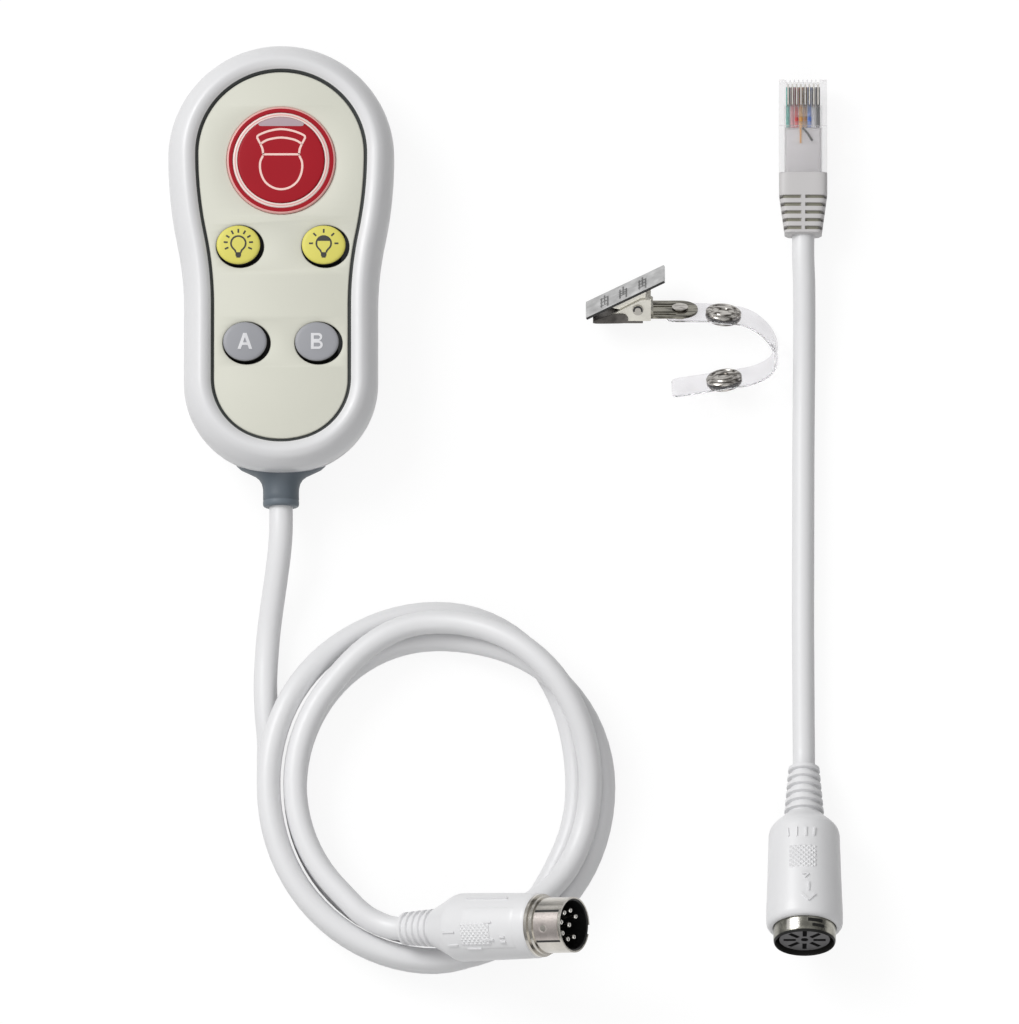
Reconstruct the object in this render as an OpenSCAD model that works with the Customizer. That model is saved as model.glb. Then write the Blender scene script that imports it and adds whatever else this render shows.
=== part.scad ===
// Nurse call handset kit: a hand-held call unit with a coiled lead and round eight-pin plug,
// an adapter lead from a flat data plug to a round eight-pin socket, and a garment clip.
// Millimetres. X is across the handset, Y along it, Z up from the surface it lies on.
// The origin is the centre of the handset's flat back face.

/* [Handset body] */
// Length of the handset, head to foot
body_len = 103; // [95:1:115]
// Radius of the round head
head_r = 26.9; // [25:0.1:29]
// Half width at the waist
waist_half = 23.1; // [21.8:0.1:24.4]
// Height along the body at which the waist begins, below the middle
waist_drop = 12; // [9:0.5:15]
// Radius of the flanks just below the head
flank_r = 100; // [80:1:120]
// Radius of the corners of the foot
toe_r = 21.5; // [20.5:0.1:22]
// Radius of the bottom edge of the foot
sole_r = 26; // [24.5:0.1:30]
// Height of the joint between rear and front shell
parting_z = 12; // [11.5:0.1:12.5]
// Height of the top of the rim
rim_z = 22; // [21.8:0.1:23]
// Height of the deck that the keypad lies on
deck_z = 19.2; // [18.8:0.1:19.6]
// Wall thickness of both shells
wall = 2; // [1.6:0.1:2.2]
// Thickness of the seal between the shells
seal_t = 0.3; // [0.2:0.05:0.6]
// Width of the seal
seal_w = 1.3; // [1:0.1:1.5]
// Distance from the body's outline to the edge of the keypad
rim_w = 6.9; // [6.6:0.1:7.4]
// Thickness of the keypad sheet
keypad_t = 1.2; // [0.8:0.1:1.4]
// Gap round everything that slips into a hole
slip = 0.3; // [0.2:0.05:0.4]

/* [Call button] */
// Height of the call button's centre, as a share of half the body's length
call_y_share = 0.4447; // [0.42:0.005:0.46]
// Radius of the red disc
call_r = 10.3; // [9:0.1:10.8]
// Width of the pale ring round the disc
call_ring_w = 1; // [0.8:0.1:1.2]
// Width of the red ring outside the pale one
call_bezel_w = 1.3; // [1:0.1:1.6]
// Height of the rings above the deck
call_ring_h = 1.7; // [1.5:0.1:2]
// Height of the red disc's face above the deck
call_face_h = 2; // [1.8:0.1:2.4]
// Thickness of the red disc
call_cap_t = 3.2; // [2.6:0.1:3.4]
// Distance from the disc's centre to the straight edge of the lamp window
lens_edge = 8.4; // [7.8:0.1:8.8]
// Depth of the lamp window's pocket
lens_t = 1; // [0.8:0.1:1.3]
// Travel of the call button
call_travel = 1; // [0.8:0.1:1.1]

/* [Small keys] */
// Sideways distance of the yellow lamp keys from the middle
lamp_key_x = 10.1; // [9.5:0.1:10.8]
// Height of the yellow lamp keys, as a share of half the body's length
lamp_key_y_share = 0.0466; // [0.03:0.005:0.06]
// Half width of the yellow lamp keys
lamp_key_r = 5.4; // [4.8:0.05:5.6]
// Sideways distance of the grey service keys from the middle
service_key_x = 8.55; // [8.2:0.05:9.2]
// Depth of the grey service keys below the middle, as a share of half the body's length
service_key_drop_share = 0.402; // [0.39:0.005:0.415]
// Half width of the grey service keys
service_key_r = 5.5; // [4.8:0.05:5.7]
// Height of a key as a share of its width
key_oval_share = 0.9; // [0.85:0.01:1]
// Height of the keys' faces above the deck
key_face_h = 2.5; // [2:0.1:2.8]
// Travel of the small keys
key_travel = 0.8; // [0.6:0.1:0.9]
// Width of the hidden rim that holds a key in
key_rim_w = 0.8; // [0.6:0.1:1]
// Thickness of that rim
key_rim_t = 0.8; // [0.6:0.1:1]
// Radius of the stem under each key
key_stem_r = 2; // [1.8:0.1:2.2]

/* [Electronics] */
// Height of the underside of the circuit board
board_z = 8; // [7.6:0.1:8.2]
// Thickness of the circuit board
board_t = 1.6; // [1.2:0.1:1.6]
// Distance from the body's outline to the board's edge
board_inset = 5.5; // [5:0.1:6.5]
// Depth of the board's straight lower edge below the middle, as a share of half the body's length
board_foot_share = 0.66; // [0.65:0.005:0.68]
// Side length of a push switch
switch_w = 6; // [5.6:0.1:6.2]
// Height of a push switch's body
switch_h = 3.6; // [3.2:0.1:3.8]
// Radius of a switch plunger
plunger_r = 1.7; // [1.5:0.1:1.75]
// Running gap round a switch plunger
plunger_gap = 0.1; // [0.08:0.01:0.15]
// Side length of the controller chip
chip_w = 7; // [6:0.1:8]
// Thickness of the controller chip
chip_t = 1.2; // [0.9:0.1:1.6]
// Radius of the light guide under the lamp window
guide_r = 1.25; // [1:0.05:1.4]
// Size of the lamp under the guide
lamp_w = 2.4; // [2:0.1:2.8]
// Height of the lamp under the guide
lamp_h = 1.1; // [0.9:0.1:1.3]
// Length of the board's cable header
header_len = 18; // [17:0.5:20]
// Depth of the board's cable header
header_w = 5; // [4.6:0.1:5.6]
// Height of the board's cable header
header_h = 5.4; // [5:0.1:5.6]
// Radius of an insulated wire
wire_r = 0.5; // [0.4:0.05:0.55]
// Number of wires in the lead
wire_count = 8; // [4:1:8]

/* [Screws] */
// Radius of the case screws' shanks
screw_r = 1.15; // [1:0.05:1.2]
// Radius of the screws' heads
screw_head_r = 2.3; // [2:0.1:2.4]
// Height of the screws' heads
screw_head_h = 1.6; // [1.2:0.1:1.8]
// Gap round a screw's shank
screw_gap = 0.05; // [0.03:0.01:0.09]
// Outer radius of the posts that take screws
post_r = 2.6; // [2.5:0.1:2.8]
// Outer radius of the sleeves round the case screws in the rear shell
sleeve_r = 3.4; // [3.3:0.1:3.6]
// Depth of the recess for a case screw's head
recess_h = 3; // [2.6:0.1:3.4]

/* [Handset lead] */
// Diameter of the handset's lead
lead_d = 5.6; // [5:0.1:6]
// Height of the lead where it leaves the handset
outlet_z = 9.5; // [9.2:0.1:9.8]
// Radius of the grey sleeve round the lead
boot_r = 4.3; // [4:0.1:4.4]
// Distance that the grey sleeve stands out of the foot
boot_len = 7.4; // [6:0.1:8]
// Half width of the sleeve's flared shoulders
boot_half = 10.6; // [9:0.1:11]
// Thickness of the flange that holds the sleeve inside
boot_flange_t = 1.3; // [1:0.1:1.6]
// Radius of that flange
boot_flange_r = 5.2; // [4.9:0.1:5.4]
// Half width of the coil's middle line
coil_rx = 36.65; // [35:0.05:38]
// Half length of the coil's middle line
coil_ry = 38.9; // [37:0.1:40]
// Step from one turn to the next, side by side
coil_step = 6.3; // [6.2:0.05:6.6]
// Step from one layer of turns to the next
coil_rise = 6.1; // [6.05:0.05:6.4]

/* [Round plug] */
// Upward tilt of the plug, which leans on the coil
plug_tilt = 33; // [30:0.5:36]
// Length of the ribbed relief
plug_relief_len = 9; // [8:0.1:10]
// Length of the cone behind the grip
plug_cone_len = 6; // [5:0.1:7]
// Length of the grip
plug_grip_len = 23.4; // [22:0.2:24]
// Radius of the grip at its rear
plug_grip_r = 8.1; // [7.6:0.1:8.2]
// Length of the metal collar in front of the grip
plug_collar_len = 2; // [1.6:0.1:2.4]
// Length of the metal collar inside the grip
plug_collar_in = 5; // [4.5:0.1:6]
// Radius of the metal collar
plug_collar_r = 7; // [6.8:0.1:7.4]
// Radius of the thin flange that the grip ends on
plug_flange_r = 7.5; // [7.3:0.05:7.6]
// Thickness of that flange
plug_flange_t = 0.8; // [0.6:0.1:1.2]
// Radius of the plug's metal shell
plug_shell_r = 6.6; // [6.5:0.05:6.65]
// Length of the plug's metal shell in front of the collar
plug_shell_len = 7.6; // [7.2:0.1:8.5]
// Thickness of the sheet metal
sheet_t = 0.4; // [0.3:0.05:0.5]
// Radius of the circle of pins
pin_circle_r = 3.5; // [3.2:0.05:3.7]
// Radius of a pin
pin_r = 0.7; // [0.6:0.01:0.75]
// Depth of the pins' ends behind the shell's mouth
pin_back = 1; // [0.6:0.1:1.5]
// Length of the pins in front of the insulator
pin_len = 5.8; // [5:0.1:6]

/* [Adapter lead] */
// Diameter of the adapter's lead
adapter_d = 5.3; // [5:0.1:5.6]
// Sideways place of the adapter lead
adapter_x = 124.3; // [118:0.5:130]
// Upward tilt of the round socket, which rests on its shoulder
socket_tilt = 15; // [13:0.5:15]
// Length of the socket's ribbed relief
socket_relief_len = 12.7; // [11:0.1:13]
// Radius of the relief at its small end
socket_relief_r = 3.8; // [3.5:0.1:3.9]
// Length of the socket's shoulder
socket_shoulder_len = 4.2; // [3.6:0.1:5]
// Length of the socket's body
socket_body_len = 24.9; // [24:0.1:27]
// How far the metal sleeve stands out of the body
socket_cup_out = 4; // [3:0.1:4.5]
// Radius of the body at its shoulder
socket_rear_r = 8.45; // [8.2:0.05:8.7]
// Radius of the body at its mouth
socket_front_r = 9.1; // [8.9:0.05:9.3]
// Outer radius of the socket's metal sleeve
socket_sleeve_r = 7.45; // [7.35:0.05:7.7]
// Radius of the socket's insulator
socket_insert_r = 5.7; // [5.5:0.05:5.9]
// Depth of the socket's insulator behind the mouth
socket_insert_back = 1; // [0.6:0.1:1.6]
// Depth of the ring-shaped gap that takes a plug's shell
socket_depth = 11; // [9:0.5:12]

/* [Flat data plug] */
// Width of the flat plug
flat_w = 11.5; // [11.2:0.1:11.7]
// Length of the flat plug's clear body
flat_len = 22.6; // [21.5:0.1:23]
// Height of the flat plug's front
flat_h = 6.6; // [6.4:0.1:6.8]
// Height of the flat plug's clear body above the surface
flat_lift = 2.6; // [2.4:0.1:3]
// Pitch of the contacts
contact_pitch = 1.02; // [1:0.01:1.05]
// Thickness of a contact blade
contact_t = 0.35; // [0.3:0.05:0.45]
// Length of the latch tab
latch_len = 14; // [12:0.5:15]
// Width of the latch tab
latch_w = 6; // [5:0.1:6.4]
// Thickness of the latch tab
latch_t = 1; // [0.8:0.1:1.1]
// Length of the boot's plain block
flat_block_len = 4.9; // [4:0.1:6]
// Length of the boot's ribbed part
flat_rib_len = 9.8; // [9:0.1:11]
// Width of the boot's rear end
flat_tail_w = 8.8; // [8:0.1:9.4]
// Number of rib slots on the boot
flat_rib_count = 5; // [3:1:6]

/* [Garment clip] */
// Lean of the clip, which lies on one edge
clip_lean = 37; // [30:1:42]
// Width of the clip
clip_w = 8.5; // [8:0.1:9]
// Length of the clip's lever
lever_len = 21; // [19:0.5:22]
// Angle between lever and lower jaw
lever_angle = 28; // [26:1:29]
// Thickness of the clip's sheet steel
clip_t = 0.6; // [0.5:0.05:0.7]
// Distance of the clip's pivot from its jaw
pivot_x = 11.9; // [11:0.1:13]
// Height of the clip's pivot over the lower jaw
pivot_y = 3.6; // [3.4:0.1:4]
// Radius of the clip's pivot pin
pivot_r = 0.8; // [0.7:0.05:0.9]
// Length of the clip's lower handle behind the pivot
tongue_len = 14.3; // [13:0.1:15]
// Width of the clear strap
strap_w = 9.5; // [9:0.1:10]
// Thickness of the clear strap
strap_t = 0.8; // [0.6:0.05:0.9]
// Distance from the rivet to the strap's bend
strap_reach = 23; // [22:0.5:25]
// Distance between the strap's two runs
strap_fold = 18.4; // [16:0.2:20]
// Radius of the snap fasteners
snap_r = 4.1; // [3.8:0.1:4.3]
// Thickness of a snap fastener's cap
snap_t = 0.9; // [0.7:0.1:1]
// Radius of the snap fasteners' studs
stud_r = 2; // [1.6:0.1:2.2]

/* [Hidden] */
$fn = 64;
cut = 0.5; // overrun of cuts past a face
hair = 0.05; // gap between rings that lie one in another

// Outline of the handset
top_y = body_len / 2;
head_y = top_y - head_r;
waist_y = -waist_drop;
neck_turn = 2 * atan((head_r - waist_half) / (head_y - waist_y));
// the flank and the hollow below it share one turn; the flank leaves room for the hollow
neck_r = (head_y - waist_y) / sin(neck_turn);
flank_most_share = 0.75;
flank_fit = sign(neck_r) * min(flank_r, abs(neck_r) * flank_most_share);
hollow_r = neck_r - flank_fit;
sole_y = -top_y + sole_r;
toe_x = waist_half - toe_r;
toe_y = sole_y - sqrt(pow(sole_r - toe_r, 2) - pow(toe_x, 2));
toe_turn = atan2(sole_y - toe_y, toe_x);
head_steps = 14;
flank_steps = 3;
toe_steps = 9;
sole_steps = 3;

// Points of an arc, from angle a to angle b
function arc(cx, cy, r, a, b, n, first = 0) =
    [for (i = [first:n]) let (t = a + (b - a) * i / n) [cx + r * cos(t), cy + r * sin(t)]];

// Right half of the outline, grown by d, from the top of the head to the middle of the foot
function half_outline(d) = concat(
    arc(0, head_y, head_r + d, 90, 0, head_steps),
    arc(head_r - flank_fit, head_y, flank_fit + d, 0, -neck_turn, flank_steps, 1),
    arc(waist_half + hollow_r, waist_y, hollow_r - d, 180 - neck_turn, 180, flank_steps, 1),
    arc(toe_x, toe_y, toe_r + d, 0, -toe_turn, toe_steps),
    arc(0, sole_y, sole_r + d, -toe_turn, -90, sole_steps, 1));

function mirrored(half) = let (n = len(half))
    concat(half, [for (i = [n - 2:-1:1]) [-half[i][0], half[i][1]]]);
function body_outline(d) = mirrored(half_outline(d));

function flat(lists) = [for (l = lists) each l];

// Closed solid through rings of equally many points, listed from the bottom ring to the top one,
// each running clockwise seen from above
module skin(rings) {
    n = len(rings[0]);
    last = len(rings) - 1;
    polyhedron(points = flat(rings), faces = concat(
        [[for (i = [n - 1:-1:0]) i]],
        [for (k = [0:last - 1], i = [0:n - 1]) let (j = (i + 1) % n)
            each [[k * n + i, (k + 1) * n + j, (k + 1) * n + i], [k * n + i, k * n + j, (k + 1) * n + j]]],
        [[for (i = [0:n - 1]) last * n + i]]));
}

// Solid through offset copies of the handset's outline; each level is [growth, height]
module body_levels(levels) {
    skin([for (l = levels) [for (p = body_outline(l[0])) [p[0], p[1], l[1]]]]);
}

// Tube along points: a ring of sides corners at each, upright where it can be
function unit(v) = v / norm(v);
function heading(p, i) = unit(p[min(i + 1, len(p) - 1)] - p[max(i - 1, 0)]);
function tube_ring(c, t, r, sides) =
    let (s = unit(cross(t, [0, 0, 1])), u = cross(s, t))
    [for (k = [0:sides - 1]) let (a = 360 * (k + 0.5) / sides) c + r * (cos(a) * s + sin(a) * u)];
module tube(p, r, sides) {
    n = len(p);
    polyhedron(points = concat(
            [for (i = [0:n - 1]) each tube_ring(p[i], heading(p, i), r, sides)], [p[0], p[n - 1]]),
        faces = concat(
            [for (i = [0:sides - 1]) [n * sides, i, (i + 1) % sides]],
            [for (k = [0:n - 2], i = [0:sides - 1]) let (j = (i + 1) % sides)
                each [[k * sides + i, (k + 1) * sides + i, (k + 1) * sides + j],
                    [k * sides + i, (k + 1) * sides + j, k * sides + j]]],
            [for (i = [0:sides - 1]) [n * sides + 1, (n - 1) * sides + (i + 1) % sides,
                (n - 1) * sides + i]]));
}

// Smooth curve from p to q that leaves along a and arrives along b
function bridge(p, a, q, b, n) = [for (i = [0:n]) let (t = i / n)
    (2 * pow(t, 3) - 3 * t * t + 1) * p + (pow(t, 3) - 2 * t * t + t) * a
    + (3 * t * t - 2 * pow(t, 3)) * q + (pow(t, 3) - t * t) * b];

// Places and heights inside the handset
call_y = top_y * call_y_share;
lamp_key_y = top_y * lamp_key_y_share;
service_key_drop = top_y * service_key_drop_share;
board_foot = top_y * board_foot_share;
deck_under = deck_z - wall;
board_top = board_z + board_t;
switch_top = board_top + switch_h;
stem_low = switch_top + key_travel + 2 * hair;
front_low = parting_z + seal_t;
call_face_z = deck_z + call_face_h;
key_face_z = deck_z + key_face_h;
ring_in = call_r + slip;
ring_out = ring_in + call_ring_w;
bezel_out = ring_out + hair + call_bezel_w;
guide_y = call_y + (lens_edge + call_r) / 2;
lens_z = call_face_z - lens_t;
call_rim_z = deck_under - slip - key_rim_t;
lamp_keys = [[-lamp_key_x, lamp_key_y], [lamp_key_x, lamp_key_y]];
service_keys = [[-service_key_x, -service_key_drop], [service_key_x, -service_key_drop]];

// Places of the screws
head_post_in = 7.5;
head_post_turn = 29;
toe_post_in = 7.8;
toe_post_turn = -18;
head_post_r = head_r - head_post_in;
toe_post_r = toe_r - toe_post_in;
case_posts = [for (s = [-1, 1]) each [
    [s * head_post_r * cos(head_post_turn), head_y + head_post_r * sin(head_post_turn)],
    [s * (toe_x + toe_post_r * cos(toe_post_turn)), toe_y + toe_post_r * sin(toe_post_turn)]]];
board_post_gap = 6.3;
board_post_in = 10.5;
foot_post_x = 7.5;
foot_post_in = 4;
board_posts = concat(
    [for (s = [-1, 1]) each [[s * (lamp_key_x + board_post_gap), lamp_key_y], [s * foot_post_x, foot_post_in - board_foot]]],
    [[0, top_y - board_post_in]]);
clamp_in = 9.5;
clamp_y = clamp_in - top_y;
clamp_x = 6.4;
clamp_t = 2;
clamp_len = 4;
saddle_half = 3.5;
post_gap = 0.6;

// Shapes of the shells' sections, as [growth, height]
rear_section = [
    [-wall * 3, 0], [-wall * 2.1, wall * 0.25], [-wall * 1.35, wall * 0.9], [-wall * 0.8, wall * 2],
    [-wall * 0.4, wall * 3.4], [-wall * 0.1, wall * 5], [0, parting_z]];
rear_hollow = [
    [-wall * 3.6, wall], [-wall * 2.5, wall * 1.5], [-wall * 1.75, wall * 2.6],
    [-wall * 1.3, wall * 4], [-wall * 1.15, parting_z + cut]];
rim_over = rim_z - deck_z;
front_section = [
    [-seal_t, front_low], [0, front_low + seal_t], [0, parting_z + wall * 1.5],
    [-rim_w * 0.05, rim_z - rim_over * 1.65], [-rim_w * 0.17, rim_z - rim_over * 0.95],
    [-rim_w * 0.33, rim_z - rim_over * 0.38], [-rim_w * 0.52, rim_z - rim_over * 0.05],
    [-rim_w * 0.66, rim_z], [-rim_w * 0.82, rim_z - rim_over * 0.16],
    [-rim_w * 0.95, rim_z - rim_over * 0.46], [-rim_w, rim_z - rim_over * 0.62], [-rim_w, deck_z]];
front_hollow = [
    [-wall * 1.15, front_low - cut], [-wall * 1.2, parting_z + wall * 1.2],
    [-wall * 1.7, parting_z + wall * 2], [-wall * 2.6, deck_under]];

// Opening in the foot for the lead's grey sleeve
outlet_r = boot_r + 2 * hair;
foot_in_y = -top_y + wall * 1.15;
flange_y = foot_in_y + wall + slip;
module outlet() {
    translate([0, -top_y - boot_len, outlet_z]) rotate([-90, 0, 0])
        cylinder(r = outlet_r, h = boot_len + flange_y + top_y);
}

// Oval holes that the keys come through
module key_holes(h) {
    at_each(lamp_keys) linear_extrude(h) oval(lamp_key_r + slip);
    at_each(service_keys) linear_extrude(h) oval(service_key_r + slip);
}
module oval(r) scale([1, key_oval_share]) circle(r);

module at_each(places) {
    for (p = places) translate([p[0], p[1], 0]) children();
}

module rear_shell() color("gainsboro") {
    difference() {
        union() {
            difference() {
                body_levels(rear_section);
                body_levels(rear_hollow);
            }
            at_each(case_posts) translate([0, 0, wall / 2]) cylinder(r = sleeve_r, h = board_z - wall / 2);
            at_each(board_posts) translate([0, 0, wall / 2]) cylinder(r = post_r, h = board_z - wall / 2);
            for (s = [-1, 1]) translate([s * clamp_x, clamp_y, wall / 2])
                cylinder(r = post_r, h = outlet_z + lead_d / 2 - wall / 2);
            translate([-saddle_half, clamp_y - clamp_len / 2, wall / 2])
                cube([2 * saddle_half, clamp_len, outlet_z - lead_d / 2 - wall / 2]);
        }
        at_each(case_posts) {
            translate([0, 0, -cut]) cylinder(r = screw_head_r + slip, h = recess_h + cut);
            cylinder(r = screw_r + slip, h = rim_z);
        }
        at_each(board_posts) translate([0, 0, wall]) cylinder(r = screw_r + screw_gap, h = rim_z);
        for (s = [-1, 1]) translate([s * clamp_x, clamp_y, wall])
            cylinder(r = screw_r + screw_gap, h = rim_z);
        outlet();
    }
}

module front_shell() color("whitesmoke") {
    difference() {
        union() {
            difference() {
                body_levels(front_section);
                body_levels(front_hollow);
            }
            at_each(case_posts) translate([0, 0, board_z + hair])
                cylinder(r = post_r, h = deck_z - board_z - wall / 2);
        }
        at_each(case_posts) translate([0, 0, board_z]) cylinder(r = screw_r + screw_gap, h = wall * 4);
        translate([0, call_y, 0]) cylinder(r = call_r + slip, h = rim_z);
        key_holes(rim_z);
        outlet();
    }
}

module shell_seal() color("dimgray") {
    difference() {
        translate([0, 0, parting_z]) linear_extrude(seal_t) polygon(body_outline(-seal_t));
        translate([0, 0, parting_z - cut]) linear_extrude(seal_t + 2 * cut)
            polygon(body_outline(-seal_t - seal_w));
        outlet();
    }
}

module keypad_panel() color("lightgoldenrodyellow") {
    difference() {
        translate([0, 0, deck_z]) linear_extrude(keypad_t) polygon(body_outline(-rim_w - slip));
        translate([0, call_y, 0]) cylinder(r = bezel_out + hair, h = 2 * rim_z);
        key_holes(2 * rim_z);
    }
}

// A screw that stands head down: its head starts at z, its shank rises from it
module screw_up(z, shank) {
    translate([0, 0, z]) cylinder(r = screw_head_r, h = screw_head_h);
    translate([0, 0, z]) cylinder(r = screw_r, h = screw_head_h + shank);
}
// A screw that stands head up: its head rests at z, its shank goes down from it
module screw_down(z, shank) {
    translate([0, 0, z]) cylinder(r = screw_head_r, h = screw_head_h);
    translate([0, 0, z - shank]) cylinder(r = screw_r, h = screw_head_h + shank);
}
screw_slot_w = 0.6;
screw_slot_t = 0.5;
screw_slot_half = 1.5;
// Cross recess in a screw's head, seen from outside at height z
module cross_slot(z) {
    for (a = [0, 90]) rotate([0, 0, a])
        translate([-screw_slot_half, -screw_slot_w / 2, z - screw_slot_t])
            cube([2 * screw_slot_half, screw_slot_w, 2 * screw_slot_t]);
}

case_shank = board_z - recess_h + wall * 2.5;
module case_screws() color("silver") at_each(case_posts) difference() {
    screw_up(recess_h - screw_head_h, case_shank);
    cross_slot(recess_h - screw_head_h);
}

call_stem_low = stem_low + call_travel - key_travel;
module call_button() color("crimson") difference() {
    translate([0, call_y, 0]) union() {
        translate([0, 0, call_face_z - call_cap_t]) cylinder(r = call_r, h = call_cap_t);
        translate([0, 0, call_rim_z]) cylinder(r = call_r + key_rim_w + slip, h = key_rim_t);
        translate([0, 0, call_rim_z]) cylinder(r = call_r - wall, h = call_face_z - call_cap_t - call_rim_z);
        translate([0, 0, call_stem_low]) cylinder(r = key_stem_r, h = call_rim_z - call_stem_low + hair);
    }
    lens_space(slip / 4);
    translate([0, guide_y, call_rim_z - cut]) cylinder(r = guide_r + hair, h = rim_z);
}

// Segment of the disc that the lamp window fills
module lens_space(gap) {
    translate([0, call_y, lens_z]) intersection() {
        cylinder(r = call_r + gap - slip, h = 2 * lens_t);
        translate([-call_r, lens_edge - gap, 0]) cube([2 * call_r, call_r, 2 * lens_t]);
    }
}

module call_lens() color("rosybrown") intersection() {
    lens_space(0);
    translate([-call_r, call_y, lens_z]) cube([2 * call_r, 2 * call_r, lens_t + hair]);
}

module ring(r_in, r_out, z, h) {
    translate([0, 0, z]) difference() {
        cylinder(r = r_out, h = h);
        translate([0, 0, -cut]) cylinder(r = r_in, h = h + 2 * cut);
    }
}
module call_ring() color("ivory") translate([0, call_y, 0]) ring(ring_in, ring_out, deck_z, call_ring_h - 2 * hair);
module call_bezel() color("crimson") translate([0, call_y, 0]) ring(ring_out + hair, bezel_out, deck_z, call_ring_h);

// A small oval key: domed face, hidden rim under the deck and a stem down to its switch
key_dome_h = 0.35;
key_sides = 48;
function key_dome(r) = let (top_r = r - key_dome_h / 2) [for (i = [0:3])
    [top_r * (1 - i / 4), key_face_z - key_dome_h * pow(1 - i / 4, 2)]];
module key(place, r) translate([place[0], place[1], 0]) {
    translate([0, 0, stem_low]) cylinder(r = key_stem_r, h = call_rim_z - stem_low + key_rim_t);
    translate([0, 0, call_rim_z]) linear_extrude(key_rim_t) oval(r + key_rim_w);
    skin([for (level = concat([[r, call_rim_z + hair], [r, key_face_z - 2 * key_dome_h]], key_dome(r)))
        [for (k = [0:key_sides - 1]) let (a = -360 * k / key_sides)
            [level[0] * cos(a), level[0] * key_oval_share * sin(a), level[1]]]]);
}
module light_on_key() color("khaki") key(lamp_keys[0], lamp_key_r);
module light_dim_key() color("khaki") key(lamp_keys[1], lamp_key_r);
module service_a_key() color("lightslategray") key(service_keys[0], service_key_r);
module service_b_key() color("lightslategray") key(service_keys[1], service_key_r);

module circuit_board() color("seagreen") difference() {
    translate([0, 0, board_z]) linear_extrude(board_t) intersection() {
        polygon(body_outline(-board_inset));
        translate([-head_r, -board_foot]) square([2 * head_r, 2 * body_len]);
    }
    at_each(case_posts) cylinder(r = sleeve_r + 2 * slip, h = rim_z);
    at_each(board_posts) cylinder(r = screw_r + slip, h = rim_z);
}

module board_screws() color("silver") at_each(board_posts) difference() {
    screw_down(board_top, board_z - wall * 2);
    cross_slot(board_top + screw_head_h);
}

module switch_at(place) {
    translate([place[0], place[1], board_top]) difference() {
        translate([-switch_w / 2, -switch_w / 2, 0]) cube([switch_w, switch_w, switch_h]);
        translate([0, 0, board_t]) cylinder(r = plunger_r + plunger_gap, h = switch_h);
    }
}
module call_switch() color("dimgray") switch_at([0, call_y]);
module key_switches() color("dimgray") {
    for (p = concat(lamp_keys, service_keys)) switch_at(p);
}
module plunger_at(place, top) {
    translate([place[0], place[1], switch_top - key_travel]) cylinder(r = plunger_r, h = top - switch_top + key_travel);
}
module call_plunger() color("black") plunger_at([0, call_y], call_stem_low);
module light_on_plunger() color("black") plunger_at(lamp_keys[0], stem_low);
module light_dim_plunger() color("black") plunger_at(lamp_keys[1], stem_low);
module service_a_plunger() color("black") plunger_at(service_keys[0], stem_low);
module service_b_plunger() color("black") plunger_at(service_keys[1], stem_low);

module controller_chip() color("black")
    translate([-chip_w / 2, lamp_key_y - chip_w / 2, board_top]) cube([chip_w, chip_w, chip_t]);
module call_lamp() color("lemonchiffon")
    translate([-lamp_w / 2, guide_y - lamp_w / 2, board_top]) cube([lamp_w, lamp_w, lamp_h]);
module light_guide() color("azure")
    translate([0, guide_y, board_top + lamp_h + call_travel + slip])
        cylinder(r = guide_r, h = lens_z - board_top - lamp_h - call_travel - slip);

header_drop_share = 0.623;
header_y = lamp_key_y - (lamp_key_y + service_key_drop) * header_drop_share;
header_wall = 0.8;
module cable_header() color("ivory") translate([-header_len / 2, header_y - header_w / 2, board_top]) difference() {
    cube([header_len, header_w, header_h]);
    translate([header_wall, -cut, header_wall * 2])
        cube([header_len - 2 * header_wall, header_w - header_wall + cut, header_h - header_wall * 3]);
}

// Wires from the end of the cable's jacket to the header
cable_end_y = clamp_y + clamp_len;
wire_pitch = wire_r * 2.4;
module inner_wires() color("peru") {
    for (i = [0:wire_count - 1]) {
        side = i - (wire_count - 1) / 2;
        // packed two high where they leave the jacket, side by side at the header
        start = [side * wire_r * 1.1, cable_end_y + wire_r, outlet_z + (i % 2 == 0 ? 1 : -1) * wire_r * 1.4];
        finish = [side * wire_pitch, header_y - header_w / 2 + header_wall, board_top + header_h / 2];
        run = finish[1] - start[1];
        tube(bridge(start, [0, run, 2 * header_h], finish, [0, run, 0], 10), wire_r, 6);
    }
}

// Grey sleeve: round collar outside, shoulders that flare along the foot, flange inside
boot_rings_shares = [
    // along the sleeve, half width, half height
    [0, 0.02, 0.02], [0.55, 0, 0], [0.78, 0.07, 0.05], [0.92, 0.24, 0.16],
    [1.02, 0.5, 0.3], [1.14, 0.8, 0.45], [1.26, 1, 0.5], [1.5, 1, 0.5]];
boot_sides = 24;
module boot_flare() {
    skin([for (s = boot_rings_shares) let (
            y = -top_y - boot_len * (1 - s[0]),
            a = boot_r + (boot_half - boot_r) * s[1],
            b = boot_r + (boot_half - boot_r) * s[2])
        [for (i = [0:boot_sides - 1]) let (t = 360 * i / boot_sides)
            [a * cos(t), y, outlet_z + b * sin(t)]]]);
}
module cable_boot() color("slategray") difference() {
    union() {
        difference() {
            boot_flare();
            body_levels(concat([[-wall * 3, -cut]], rear_section, [for (l = front_section) if (l[1] > front_low + hair) l]));
        }
        translate([0, -top_y - hair, outlet_z]) rotate([-90, 0, 0])
            cylinder(r = boot_r, h = flange_y + top_y + hair);
        translate([0, flange_y, outlet_z]) rotate([-90, 0, 0]) cylinder(r = boot_flange_r, h = boot_flange_t);
    }
    translate([0, -top_y - boot_len - cut, outlet_z]) rotate([-90, 0, 0])
        cylinder(r = lead_d / 2 + hair, h = body_len / 2);
}
boot_end_y = -top_y - boot_len;
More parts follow.
